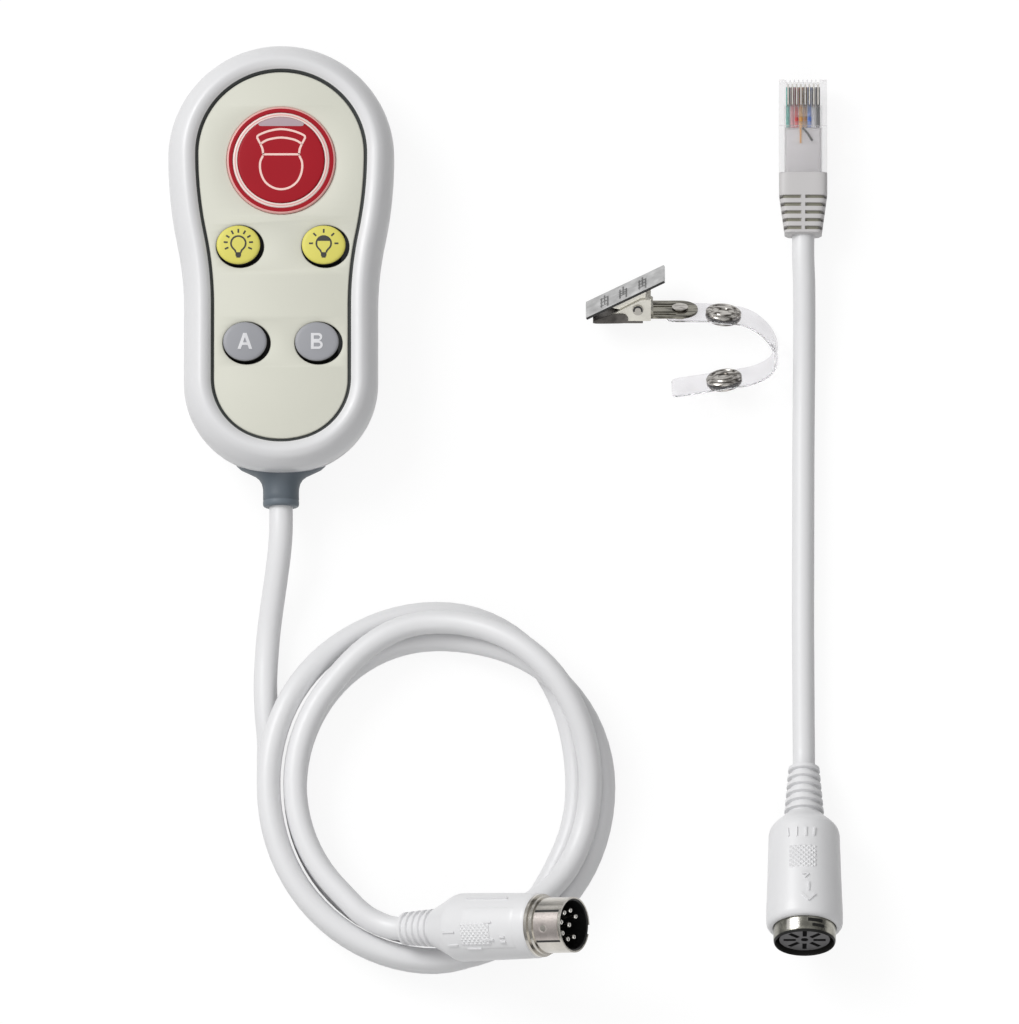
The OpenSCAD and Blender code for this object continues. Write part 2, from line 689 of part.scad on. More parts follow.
module inner_cable() color("gainsboro") translate([0, boot_end_y, outlet_z]) rotate([-90, 0, 0])
    cylinder(d = lead_d, h = cable_end_y - boot_end_y);

module cable_clamp() color("silver") difference() {
    translate([-clamp_x - post_r, clamp_y - clamp_len / 2, outlet_z + lead_d / 2])
        cube([2 * (clamp_x + post_r), clamp_len, clamp_t]);
    for (s = [-1, 1]) translate([s * clamp_x, clamp_y, 0]) cylinder(r = screw_r + slip, h = rim_z);
}
module clamp_screws() color("silver") for (s = [-1, 1]) translate([s * clamp_x, clamp_y, 0])
    screw_down(outlet_z + lead_d / 2 + clamp_t, outlet_z - wall * 2);

// Route of the lead from the grey sleeve down to the surface and up to the coil
lead_route = [
    [0, -58.9, 9.5], [0, -64.5, 9.5], [-0.4, -70, 8.7], [-1.2, -76, 7], [-2.1, -82, 5.1],
    [-2.9, -88, 3.6], [-3.4, -94, 2.9], [-3.7, -100, 2.8], [-3.5, -107, 2.8], [-2.9, -114, 2.8]];

// Coil: the lead runs anticlockwise, seen from above, and passes over itself twice a turn.
// Each table is [degrees run from the left side, share]; shares between entries are eased.
coil_middle = [36.9, -125.5];
coil_lane_shares = [
    [0, 1], [85, 1], [155, -1], [180, -1], [265, 1], [365, 1], [405, 1.12], [445, 1.12], [480, 1],
    [540, 1], [625, -1], [820, -1], [870, 0], [992, 0], [1042, -1], [1200, -1]];
coil_layer_shares = [
    [0, 0], [290, 0], [340, 1], [472, 1], [522, 0], [525, 0], [582, 1], [639, 0],
    [778, 0], [845, 1.5], [882, 0.9], [942, 2.02], [1000, 1], [1080, 1], [1180, 1.6]];
function ease(f) = (1 - cos(180 * f)) / 2;
function eased(table, a) = let (
        i = max([for (k = [0:len(table) - 2]) if (table[k][0] <= a) k]),
        f = (a - table[i][0]) / (table[i + 1][0] - table[i][0]))
    table[i][1] + (table[i + 1][1] - table[i][1]) * ease(f);
function coil_point(a) = let (out = coil_step / 2 * eased(coil_lane_shares, a)) [
    coil_middle[0] - (coil_rx + out) * cos(a),
    coil_middle[1] - (coil_ry + out) * sin(a),
    lead_d / 2 + coil_rise * eased(coil_layer_shares, a)];
coil_loop_rings = 24;
coil_turn_end = 1125;
coil_first = coil_point(0);
function coil_heading(a) = unit(coil_point(a + 1) - coil_point(a - 1));
coil_last = coil_point(coil_turn_end);
coil_leave = unit(coil_point(coil_turn_end) - coil_point(coil_turn_end - 1));
coil_path = concat(
    [coil_first + [0, lead_d, 0]],
    [for (a = [0:360 / coil_loop_rings:coil_turn_end]) coil_point(a)],
    [coil_last + coil_leave * lead_d]);

// Least gap of the coil to itself, on its rings and on the points half way between them
coil_check = [for (a = [0:180 / coil_loop_rings:coil_turn_end]) coil_point(a)];
half_turn_steps = coil_loop_rings;
coil_gap = min([for (i = [0:len(coil_check) - 1], j = [i + half_turn_steps:1:len(coil_check) - 1])
    norm(coil_check[i] - coil_check[j])]) - lead_d;
echo(coil_gap_mm = coil_gap);  // cord_coil

// The plug's place: its relief starts just past the coil's lower left, above the turns
plug_at = [29.5, -161.3, 14.4];
plug_yaw = -4.7;
plug_dir = [cos(plug_tilt) * cos(plug_yaw), cos(plug_tilt) * sin(plug_yaw), sin(plug_tilt)];
tail_from = coil_last + coil_leave * lead_d;
tail_stub = 0.5;
tail_leave_share = 0.8;
tail_arrive_share = 1.3;
tail_start = tail_from + coil_leave * tail_stub;
tail_to = plug_at - plug_dir * tail_stub;
tail_span = norm(tail_to - tail_start);
tail_path = concat([tail_from],
    bridge(tail_start, coil_leave * tail_span * tail_leave_share,
        tail_to, plug_dir * tail_span * tail_arrive_share, 6), [plug_at]);
cord_sides = 10;
coil_sides = 6;

module cord_lead() color("whitesmoke") tube(concat(lead_route, [coil_first + [0, lead_d, 0]]), lead_d / 2, cord_sides);
module cord_coil() color("whitesmoke") tube(coil_path, lead_d / 2, coil_sides);
module cord_tail() color("whitesmoke") tube(tail_path, lead_d / 2, cord_sides);

// Frame of the plug: children stand along +Z, which becomes the plug's nose direction
module along_plug() {
    translate(plug_at) rotate([0, 90 - plug_tilt, plug_yaw]) children();
}
grip_from = plug_relief_len + plug_cone_len;
grip_to = grip_from + plug_grip_len;
collar_to = grip_to + plug_collar_len;
shell_to = collar_to + plug_shell_len;
relief_wall = 1.1;
relief_front_wall = 1.8;
relief_r = lead_d / 2 + relief_wall;
relief_front_r = lead_d / 2 + relief_front_wall;
rib_deep = 0.6;
rib_count = 5;
rib_edge_shares = [0.06, 0.5, 0.56, 0.94];
function ribs(from, to, r_from, r_to, count, deep) = [
    for (i = [0:count - 1], k = [0:3]) let (
        pitch = (to - from) / count,
        s = from + pitch * (i + rib_edge_shares[k]),
        r = r_from + (r_to - r_from) * (s - from) / (to - from))
    [r - (k > 1 ? deep : 0), s]];
panel_h = 0.7;
panel_half = 4.4;
grip_ease = 1;
module plug_grip() color("white") along_plug() difference() {
    union() {
        rotate_extrude() polygon(concat(
            [[0, 0], [relief_r - rib_deep, 0]],
            ribs(0, plug_relief_len, relief_r, relief_front_r, rib_count, rib_deep),
            [[relief_front_r, plug_relief_len], [plug_grip_r * 0.86, grip_from - grip_ease],
                [plug_grip_r, grip_from + grip_ease], [plug_grip_r * 0.97, grip_to - grip_ease],
                [plug_grip_r * 0.95, grip_to], [0, grip_to]]));
        // raised flat on the upper side
        translate([-plug_grip_r - panel_h / 2, -panel_half, grip_from + 2 * panel_h])
            cube([plug_grip_r, 2 * panel_half, plug_grip_len - 5 * panel_h]);
    }
    translate([0, 0, grip_to - plug_collar_in]) cylinder(r = plug_collar_r + hair, h = plug_collar_in + cut);
}
collar_from = grip_to - plug_collar_in + hair;
slot_half = 1.1;
slot_deep = 1.2;
slot_back = 2.5;
module plug_shell() color("silver") along_plug() difference() {
    union() {
        translate([0, 0, collar_from]) cylinder(r = plug_collar_r, h = collar_to - collar_from);
        translate([0, 0, grip_to + hair]) cylinder(r = plug_flange_r, h = plug_flange_t);
        translate([0, 0, collar_to]) cylinder(r = plug_shell_r, h = plug_shell_len);
    }
    translate([0, 0, collar_from + sheet_t]) cylinder(r = plug_shell_r - sheet_t, h = shell_to);
    // keyway in the shell's lower side
    translate([plug_shell_r - slot_deep, -slot_half, collar_to + slot_back])
        cube([2 * slot_deep, 2 * slot_half, plug_shell_len]);
}
insert_to = shell_to - pin_back - pin_len;
module plug_insert() color("black") along_plug() difference() {
    translate([0, 0, collar_from + sheet_t]) cylinder(r = plug_shell_r - sheet_t - hair, h = insert_to - collar_from - sheet_t);
    pin_places() translate([0, 0, insert_to - pin_len]) cylinder(r = pin_r + hair, h = 2 * pin_len);
}
// Seven contacts on three quarters of a circle and one in the middle
pin_turn = 45;
module pin_places() {
    for (i = [0:6]) rotate([0, 0, 45 + pin_turn * i]) translate([pin_circle_r, 0, 0]) children();
    children();
}
module plug_pins() color("gainsboro") along_plug() pin_places()
    translate([0, 0, insert_to - pin_len]) union() {
        cylinder(r = pin_r, h = 2 * pin_len - pin_r);
        translate([0, 0, 2 * pin_len - pin_r]) sphere(r = pin_r);
    }

// Socket of the adapter: children stand along +Z, which becomes the socket's mouth direction
socket_rest_z = socket_rear_r * cos(socket_tilt);
socket_back_y = -137.2;
module along_socket() {
    translate([adapter_x, socket_back_y, socket_rest_z]) rotate([90 - socket_tilt, 0, 0]) children();
}
mouth_s = socket_body_len + socket_cup_out;
relief_s = -socket_shoulder_len - socket_relief_len;
socket_relief_front_r = 4.7;
mouth_ease = 0.6;
mouth_straight = 4;
module socket_grip() color("white") along_socket() difference() {
    rotate_extrude() polygon(concat(
        [[0, relief_s], [socket_relief_r - rib_deep, relief_s]],
        ribs(relief_s, -socket_shoulder_len, socket_relief_r, socket_relief_front_r, rib_count, rib_deep),
        [[socket_relief_front_r, -socket_shoulder_len], [socket_rear_r * 0.86, -grip_ease],
            [socket_rear_r, 0], [socket_front_r, socket_body_len - mouth_straight],
            [socket_front_r, socket_body_len - mouth_ease],
            [socket_front_r - mouth_ease, socket_body_len], [0, socket_body_len]]));
    translate([0, 0, mouth_s - socket_depth - sheet_t]) cylinder(r = socket_sleeve_r + hair, h = 2 * socket_depth);
}
module socket_sleeve() color("silver") along_socket() difference() {
    translate([0, 0, mouth_s - socket_depth - sheet_t + hair])
        cylinder(r = socket_sleeve_r, h = socket_depth + sheet_t - hair);
    translate([0, 0, mouth_s - socket_depth]) cylinder(r = socket_sleeve_r - sheet_t, h = 2 * socket_depth);
}
module socket_insert() color("dimgray") along_socket() difference() {
    translate([0, 0, mouth_s - socket_depth]) cylinder(r = socket_insert_r, h = socket_depth - socket_insert_back);
    pin_places() translate([0, 0, mouth_s - socket_depth + sheet_t])
        cylinder(r = pin_r + 4 * hair, h = socket_depth);
}
contact_deep = 3;
module socket_contacts() color("gold") along_socket() pin_places()
    translate([0, 0, mouth_s - socket_depth + sheet_t])
        ring(pin_r + hair, pin_r + 3 * hair, 0, socket_depth - socket_insert_back - contact_deep);

// Adapter lead: from the socket's relief down to the surface, along it and up into the flat plug
socket_out = [0, cos(socket_tilt), -sin(socket_tilt)];
adapter_from = [adapter_x, socket_back_y, socket_rest_z] - socket_out * relief_s;
flat_rear_y = 7.3;
flat_mid_up = 3.6;
flat_mid_z = flat_lift + flat_mid_up;
adapter_route = [
    [124.3, -115, 2.75], [124.25, -109, 2.65], [124.2, -98, 2.65], [124.15, -85, 2.65],
    [124.2, -72, 2.65], [124.25, -58, 2.65], [124.3, -45, 2.65], [124.4, -33, 2.7],
    [124.5, -24, 3.1], [124.55, -16, 4], [124.55, -9, 5], [124.5, -3.5, 5.8]];
adapter_path = concat(
    [adapter_from, adapter_from + socket_out * adapter_d * 0.6],
    adapter_route,
    [[adapter_x, flat_rear_y - adapter_d, flat_mid_z], [adapter_x, flat_rear_y, flat_mid_z]]);
module adapter_cord() color("whitesmoke") tube(adapter_path, adapter_d / 2, cord_sides);

// Flat data plug, contacts up; its boot lies behind it
flat_body_y = flat_rear_y + flat_rib_len + flat_block_len;
flat_front_y = flat_body_y + flat_len;
flat_wall = 1.2;
flat_step = 1.4;
contact_len = 6;
contact_back = 1;
window_w = 4;
module flat_plug_body() color("azure", 0.6) translate([adapter_x - flat_w / 2, 0, flat_lift]) difference() {
    union() {
        translate([0, flat_body_y, 0]) cube([flat_w, flat_len, flat_h]);
        translate([0, flat_body_y, 0]) cube([flat_w, flat_len / 2, flat_h + flat_step]);
    }
    // wire chamber
    translate([flat_wall, flat_body_y - cut, flat_wall])
        cube([flat_w - 2 * flat_wall, flat_len - contact_len + cut, flat_h - 2 * flat_wall]);
    // slots for the contact blades
    for (i = [0:wire_count - 1])
        translate([flat_w / 2 + (i - (wire_count - 1) / 2) * contact_pitch - contact_t,
            flat_front_y - contact_len, flat_h / 2])
            cube([2 * contact_t, contact_len + cut, flat_h]);
    // window in the top where the strain bar is pressed in
    translate([(flat_w - window_w) / 2, flat_body_y + flat_len / 2 + flat_wall, flat_h - flat_wall - cut])
        cube([window_w, flat_wall, 2 * flat_wall]);
}
module flat_plug_contacts() color("gold") for (i = [0:wire_count - 1])
    translate([adapter_x + (i - (wire_count - 1) / 2) * contact_pitch - contact_t / 2,
        flat_front_y - contact_len, flat_lift + flat_h / 2])
        cube([contact_t, contact_len - contact_back, flat_h / 2 - 4 * hair]);
flat_wire_r = 0.45;
module flat_plug_wires() color("steelblue") for (i = [0:wire_count - 1])
    translate([adapter_x + (i - (wire_count - 1) / 2) * contact_pitch, flat_body_y, flat_lift + flat_h / 2])
        rotate([-90, 0, 0]) cylinder(r = flat_wire_r, h = flat_len - contact_len - 4 * hair, $fn = 24);

// Springy latch under the flat plug; its root is at the front, its free end rests on the surface
latch_gap = 0.15;
latch_root_y = flat_front_y - 1.2;
latch_low_z = latch_t / 2;
latch_root_z = flat_lift - latch_gap - latch_t / 2;
module flat_plug_latch() color("azure", 0.6) {
    translate([adapter_x, latch_root_y, latch_root_z]) rotate([0, 90, 0])
        cylinder(d = latch_t, h = latch_w, center = true);
    translate([adapter_x - latch_w / 2, latch_root_y, latch_root_z])
        rotate([asin((latch_root_z - latch_low_z) / latch_len), 0, 0])
            translate([0, -latch_len, -latch_t / 2]) cube([latch_w, latch_len, latch_t]);
}

rib_slot_w = 1;
rib_slot_deep = 0.8;
rib_bar_half = 1.1;
module flat_plug_boot() color("white") difference() {
    union() {
        translate([adapter_x - flat_w / 2, flat_body_y - flat_block_len, flat_lift])
            cube([flat_w, flat_block_len, flat_h + flat_step]);
        translate([0, flat_body_y - flat_block_len, 0]) rotate([90, 0, 0]) hull() {
            translate([adapter_x - flat_w / 2, flat_lift, 0]) cube([flat_w, flat_h + flat_step, hair]);
            translate([adapter_x - flat_tail_w / 2, flat_mid_z - adapter_d / 2 - flat_wall, flat_rib_len - hair])
                cube([flat_tail_w, adapter_d + 2 * flat_wall, hair]);
        }
    }
    // slots across the top, split by a bar down the middle
    for (i = [0:flat_rib_count - 1], s = [-1, 1]) let (
            y = flat_body_y - flat_block_len - flat_rib_len * (i + 0.35) / flat_rib_count,
            top = flat_lift + flat_h + flat_step - (flat_h + flat_step - adapter_d - flat_wall) * (i + 0.5) / flat_rib_count)
        translate([adapter_x + (s > 0 ? rib_bar_half : -rib_bar_half - flat_w), y - rib_slot_w / 2, top - rib_slot_deep])
            cube([flat_w, rib_slot_w, flat_h]);
    translate([adapter_x, flat_rear_y - cut, flat_mid_z]) rotate([-90, 0, 0])
        cylinder(d = adapter_d, h = cut + hair);
}

// Garment clip: children lie in its own frame, x along it, y from jaw to lever, z across its width
clip_at = [73, -8.6, -0.2];
module in_clip() {
    translate(clip_at) rotate([clip_lean, 0, 0]) children();
}
clip_low = (strap_w - clip_w) / 2;
cheek_t = clip_t;
cheek_run = 5.2;
cheek_rise = 2.6;
jaw_x = 1.2;
lever_out = 1.4;
tongue_y = 1.2;
tongue_half = clip_w / 2;
tongue_end = pivot_x + tongue_len;
module clip_jaw() color("silver") in_clip() difference() {
    union() {
        // jaw floor, with its tip turned up into teeth
        translate([jaw_x, 0, clip_low]) cube([pivot_x, clip_t, clip_w]);
        translate([jaw_x, 0, clip_low]) cube([clip_t, pivot_y / 3, clip_w]);
        // cheeks
        for (z = [clip_low, clip_low + clip_w - cheek_t]) translate([0, 0, z]) linear_extrude(cheek_t)
            polygon([[pivot_x / 3, 0], [pivot_x + cheek_run, 0], [pivot_x + cheek_run, tongue_y + clip_t],
                [pivot_x + pivot_y, pivot_y + cheek_rise], [pivot_x + pivot_r, pivot_y + cheek_rise],
                [pivot_x / 3, clip_t * 2]]);
        // tongue with a round end, behind the pivot
        translate([pivot_x, tongue_y, clip_low]) cube([tongue_len - tongue_half, clip_t, clip_w]);
        translate([tongue_end - tongue_half, tongue_y, clip_low + clip_w / 2]) rotate([-90, 0, 0])
            cylinder(r = tongue_half, h = clip_t);
        translate([pivot_x, 0, clip_low]) cube([clip_t, tongue_y + clip_t, clip_w]);
    }
    translate([pivot_x, pivot_y, -cut]) cylinder(r = pivot_r + hair, h = strap_w + 2 * cut);
    translate([rivet_x, 0, strap_w / 2]) rotate([-90, 0, 0]) cylinder(r = rivet_r + hair, h = pivot_y);
}
lever_half = clip_w / 2 - cheek_t - 2 * hair;
// Lever: sheet steel plate from the jaw's tip up to the rear, with ears round the pivot
lever_foot = [jaw_x - lever_out, clip_t / 2];
lever_top = lever_foot + lever_len * [cos(lever_angle), sin(lever_angle)];
module clip_lever() color("silver") in_clip() difference() {
    union() {
        translate([lever_foot[0], lever_foot[1] + clip_t, clip_low]) rotate([0, 0, lever_angle])
            cube([lever_len, clip_t, clip_w]);
        for (z = [strap_w / 2 - lever_half, strap_w / 2 + lever_half - cheek_t])
            translate([0, 0, z]) linear_extrude(cheek_t) polygon([
                [pivot_x - pivot_r * 1.5, pivot_y - pivot_r * 1.2],
                [pivot_x + pivot_r * 1.5, pivot_y - pivot_r * 1.2],
                lever_foot + lever_len * 0.72 * [cos(lever_angle), sin(lever_angle)] + [0, clip_t * 1.5],
                lever_foot + lever_len * 0.3 * [cos(lever_angle), sin(lever_angle)] + [0, clip_t * 1.5]]);
    }
    translate([pivot_x, pivot_y, -cut]) cylinder(r = pivot_r + hair, h = strap_w + 2 * cut);
}
pin_head_r = 1.3;
pin_head_t = 0.4;
module clip_pivot() color("silver") in_clip() translate([pivot_x, pivot_y, 0]) {
    translate([0, 0, clip_low]) cylinder(r = pivot_r, h = clip_w);
    for (z = [clip_low - pin_head_t, clip_low + clip_w]) translate([0, 0, z]) cylinder(r = pin_head_r, h = pin_head_t);
}
// Return spring: a coil of wire round the pivot
spring_wire_r = 0.3;
spring_turns = 4;
spring_r = pivot_r + spring_wire_r + 2 * hair;
spring_half = spring_turns * spring_wire_r * 1.3;
spring_rings = 14;
module clip_spring() color("dimgray") in_clip() translate([pivot_x, pivot_y, strap_w / 2]) rotate([90, 0, 0])
    tube([for (i = [0:spring_turns * spring_rings]) let (a = 360 * i / spring_rings,
            s = i / (spring_turns * spring_rings))
        [spring_r * cos(a), spring_half * (2 * s - 1), spring_r * sin(a)]], spring_wire_r, 6);

// Clear strap: a band whose lower edge runs along the surface; its width leans as the clip does
rivet_x = tongue_end - tongue_half;
rivet_r = 1.2;
rivet_head_r = 1.9;
rivet_head_t = 0.5;
strap_dir = [0, -sin(clip_lean), cos(clip_lean)];
clip_up = [0, cos(clip_lean), sin(clip_lean)];
strap_base = clip_at + clip_up * (tongue_y - strap_t / 2 - hair);
// along the reach, across the fold
strap_route_shares = [
    [-0.139, 0], [0, 0], [0.257, 0.005], [0.448, 0.03], [0.639, 0.055], [0.778, 0.13], [0.896, 0.255],
    [0.97, 0.4], [0.996, 0.545], [0.957, 0.675], [0.861, 0.77], [0.713, 0.84], [0.457, 0.89],
    [0.217, 0.94], [-0.043, 0.99], [-0.087, 0.997]];
strap_route = [for (s = strap_route_shares) [rivet_x + strap_reach * s[0], -strap_fold * s[1]]];
function strap_point(i) = strap_base + [strap_route[i][0], strap_route[i][1], 0];
function strap_side(i) = unit(cross(heading([for (p = strap_route) [p[0], p[1], 0]], i), strap_dir));
module strap() color("azure", 0.5) difference() {
    skin([for (i = [0:len(strap_route) - 1]) let (p = strap_point(i), s = strap_side(i) * strap_t / 2)
        [p + s, p + s + strap_dir * strap_w, p - s + strap_dir * strap_w, p - s]]);
    in_clip() translate([rivet_x, -pivot_y, strap_w / 2]) rotate([-90, 0, 0])
        cylinder(r = rivet_r + hair, h = 3 * pivot_y);
}
module strap_rivet() color("silver") in_clip() translate([rivet_x, 0, strap_w / 2]) rotate([-90, 0, 0]) {
    translate([0, 0, tongue_y - strap_t - 2 * hair - rivet_head_t]) cylinder(r = rivet_head_r, h = rivet_head_t);
    translate([0, 0, tongue_y - strap_t - 2 * hair - rivet_head_t])
        cylinder(r = rivet_r, h = strap_t + clip_t + 2 * rivet_head_t + 2 * hair);
    translate([0, 0, tongue_y + clip_t]) cylinder(r = rivet_head_r, h = rivet_head_t);
}

// Snap fasteners: a cap on one face of the strap and a stud on the other
snap_front = 3;
snap_back = 12;
module snap(point, side) {
    axis_yaw = atan2(side[1], side[0]);
    axis_drop = acos(side[2]);
    translate(point + strap_dir * strap_w / 2) rotate([0, axis_drop, axis_yaw]) {
        translate([0, 0, strap_t / 2 + hair]) cylinder(r1 = snap_r, r2 = snap_r * 0.86, h = snap_t);
        translate([0, 0, -strap_t / 2 - hair - snap_t]) cylinder(r1 = snap_r * 0.86, r2 = snap_r, h = snap_t);
        translate([0, 0, -strap_t / 2 - hair - 2 * snap_t]) cylinder(r = stud_r, h = snap_t);
    }
}
module snap_socket() color("silver") snap(strap_point(snap_front), -strap_side(snap_front));
module snap_stud() color("silver") snap(strap_point(snap_back), strap_side(snap_back));

front_shell();
rear_shell();
shell_seal();
keypad_panel();
case_screws();
call_button();
call_lens();
call_ring();
call_bezel();
light_on_key();
light_dim_key();
service_a_key();
service_b_key();
circuit_board();
board_screws();
call_switch();
key_switches();
call_plunger();
light_on_plunger();
light_dim_plunger();
service_a_plunger();
service_b_plunger();
controller_chip();
call_lamp();
light_guide();
cable_header();
inner_wires();
cable_boot();
inner_cable();
cable_clamp();
clamp_screws();
cord_lead();
cord_coil();
cord_tail();
plug_grip();
plug_shell();
plug_insert();
plug_pins();
adapter_cord();
socket_grip();
socket_sleeve();
socket_insert();
socket_contacts();
flat_plug_body();
flat_plug_contacts();
flat_plug_wires();
flat_plug_latch();
flat_plug_boot();
clip_jaw();
clip_lever();
clip_pivot();
clip_spring();
strap_rivet();
strap();
snap_socket();
snap_stud();
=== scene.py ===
"""Nurse call handset kit: handset with coiled lead and round plug, adapter lead and garment clip."""

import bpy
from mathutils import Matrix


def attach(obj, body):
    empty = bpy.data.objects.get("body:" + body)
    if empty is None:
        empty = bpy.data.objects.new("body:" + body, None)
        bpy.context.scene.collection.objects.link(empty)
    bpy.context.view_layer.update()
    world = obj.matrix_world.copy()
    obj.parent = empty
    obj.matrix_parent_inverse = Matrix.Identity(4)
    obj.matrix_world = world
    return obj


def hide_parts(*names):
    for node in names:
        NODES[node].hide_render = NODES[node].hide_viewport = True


bl_info = {
    "name": "Nurse Call Handset Kit",
    "version": (1, 0, 0),
    "blender": (4, 5, 0),
    "location": "3D View > Sidebar > Nurse Call",
    "description": "Dresses a packed nurse call handset, its leads and its garment clip",
    "category": "Add Mesh",
}

import math

import bmesh
import bpy
import numpy as np
from bpy.props import FloatProperty, FloatVectorProperty, IntProperty, PointerProperty
from mathutils import Vector
from mathutils.geometry import tessellate_polygon

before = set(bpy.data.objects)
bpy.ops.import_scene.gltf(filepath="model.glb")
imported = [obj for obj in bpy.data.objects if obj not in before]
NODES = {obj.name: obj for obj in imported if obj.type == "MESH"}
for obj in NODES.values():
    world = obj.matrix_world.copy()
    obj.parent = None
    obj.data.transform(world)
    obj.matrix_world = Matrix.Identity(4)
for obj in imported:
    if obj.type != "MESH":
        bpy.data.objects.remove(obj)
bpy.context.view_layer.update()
MM = 0.001
WELD = 2e-6
ROOT = "housing"


# Points and curves

def smooth_line(points, steps):
    """Catmull-Rom curve: between b and c it is half of 2b + (c-a)t + (2a-5b+4c-d)t^2 + (3b-a-3c+d)t^3."""
    p = np.asarray(points, float)
    p = np.vstack([2 * p[0] - p[1], p, 2 * p[-1] - p[-2]])
    a, b, c, d = p[:-3], p[1:-2], p[2:-1], p[3:]
    t = np.linspace(0, 1, steps, endpoint=False)[:, None, None]
    q = 0.5 * (2 * b + (c - a) * t + (2 * a - 5 * b + 4 * c - d) * t ** 2
               + (3 * b - a - 3 * c + d) * t ** 3)
    return np.vstack([q.transpose(1, 0, 2).reshape(-1, p.shape[1]), p[-2]])


def arc(cx, cy, r, start, end, n):
    """n + 1 points of a circle's arc: centre plus r times (cos, sin) of evenly spaced angles."""
    t = np.radians(np.linspace(start, end, n + 1))
    return np.column_stack([cx + r * np.cos(t), cy + r * np.sin(t)])


def circle(centre, r, n):
    """Closed ring of n points at distance r from the centre."""
    return arc(centre[0], centre[1], r, 0, 360, n)[:-1]


def turned(profile, sides=96):
    """Surface of revolution: row k is the circle of radius profile[k][0] at height profile[k][1]."""
    p = np.asarray(profile, float)
    a = np.linspace(0, 2 * np.pi, sides, endpoint=False)
    x = p[:, :1] * np.cos(a)
    y = p[:, :1] * np.sin(a)
    return np.stack([x, y, np.broadcast_to(p[:, 1:], x.shape)], -1)


def tube(path, r, sides):
    """Pipe: each ring is the path's point plus r times (side cos + up sin), where side is square to the
    path and level, and up is square to both. It ends in flat discs."""
    p = np.asarray(path, float)
    t = np.gradient(p, axis=0)
    t /= np.linalg.norm(t, axis=1, keepdims=True)
    side = np.cross(t, [0, 0, 1.0])
    side /= np.linalg.norm(side, axis=1, keepdims=True)
    up = np.cross(side, t)
    a = np.linspace(0, 2 * np.pi, sides, endpoint=False)[None, :, None]
    rings = p[:, None] + r * (np.cos(a) * side[:, None] + np.sin(a) * up[:, None])
    return np.concatenate([np.repeat(p[None, :1], sides, 1), rings, np.repeat(p[None, -1:], sides, 1)])


def turn(axis, degrees):
    """Rotation matrix about one of the three axes."""
    c, s = math.cos(math.radians(degrees)), math.sin(math.radians(degrees))
    i, j = [(1, 2), (2, 0), (0, 1)]["xyz".index(axis)]
    m = np.eye(3)
    m[i, i], m[i, j], m[j, i], m[j, j] = c, -s, s, c
    return m


def placed(points, matrix, origin):
    """Local points carried to matrix times point plus origin."""
    return np.asarray(points, float) @ np.asarray(matrix).T + np.asarray(origin, float)


# Meshes

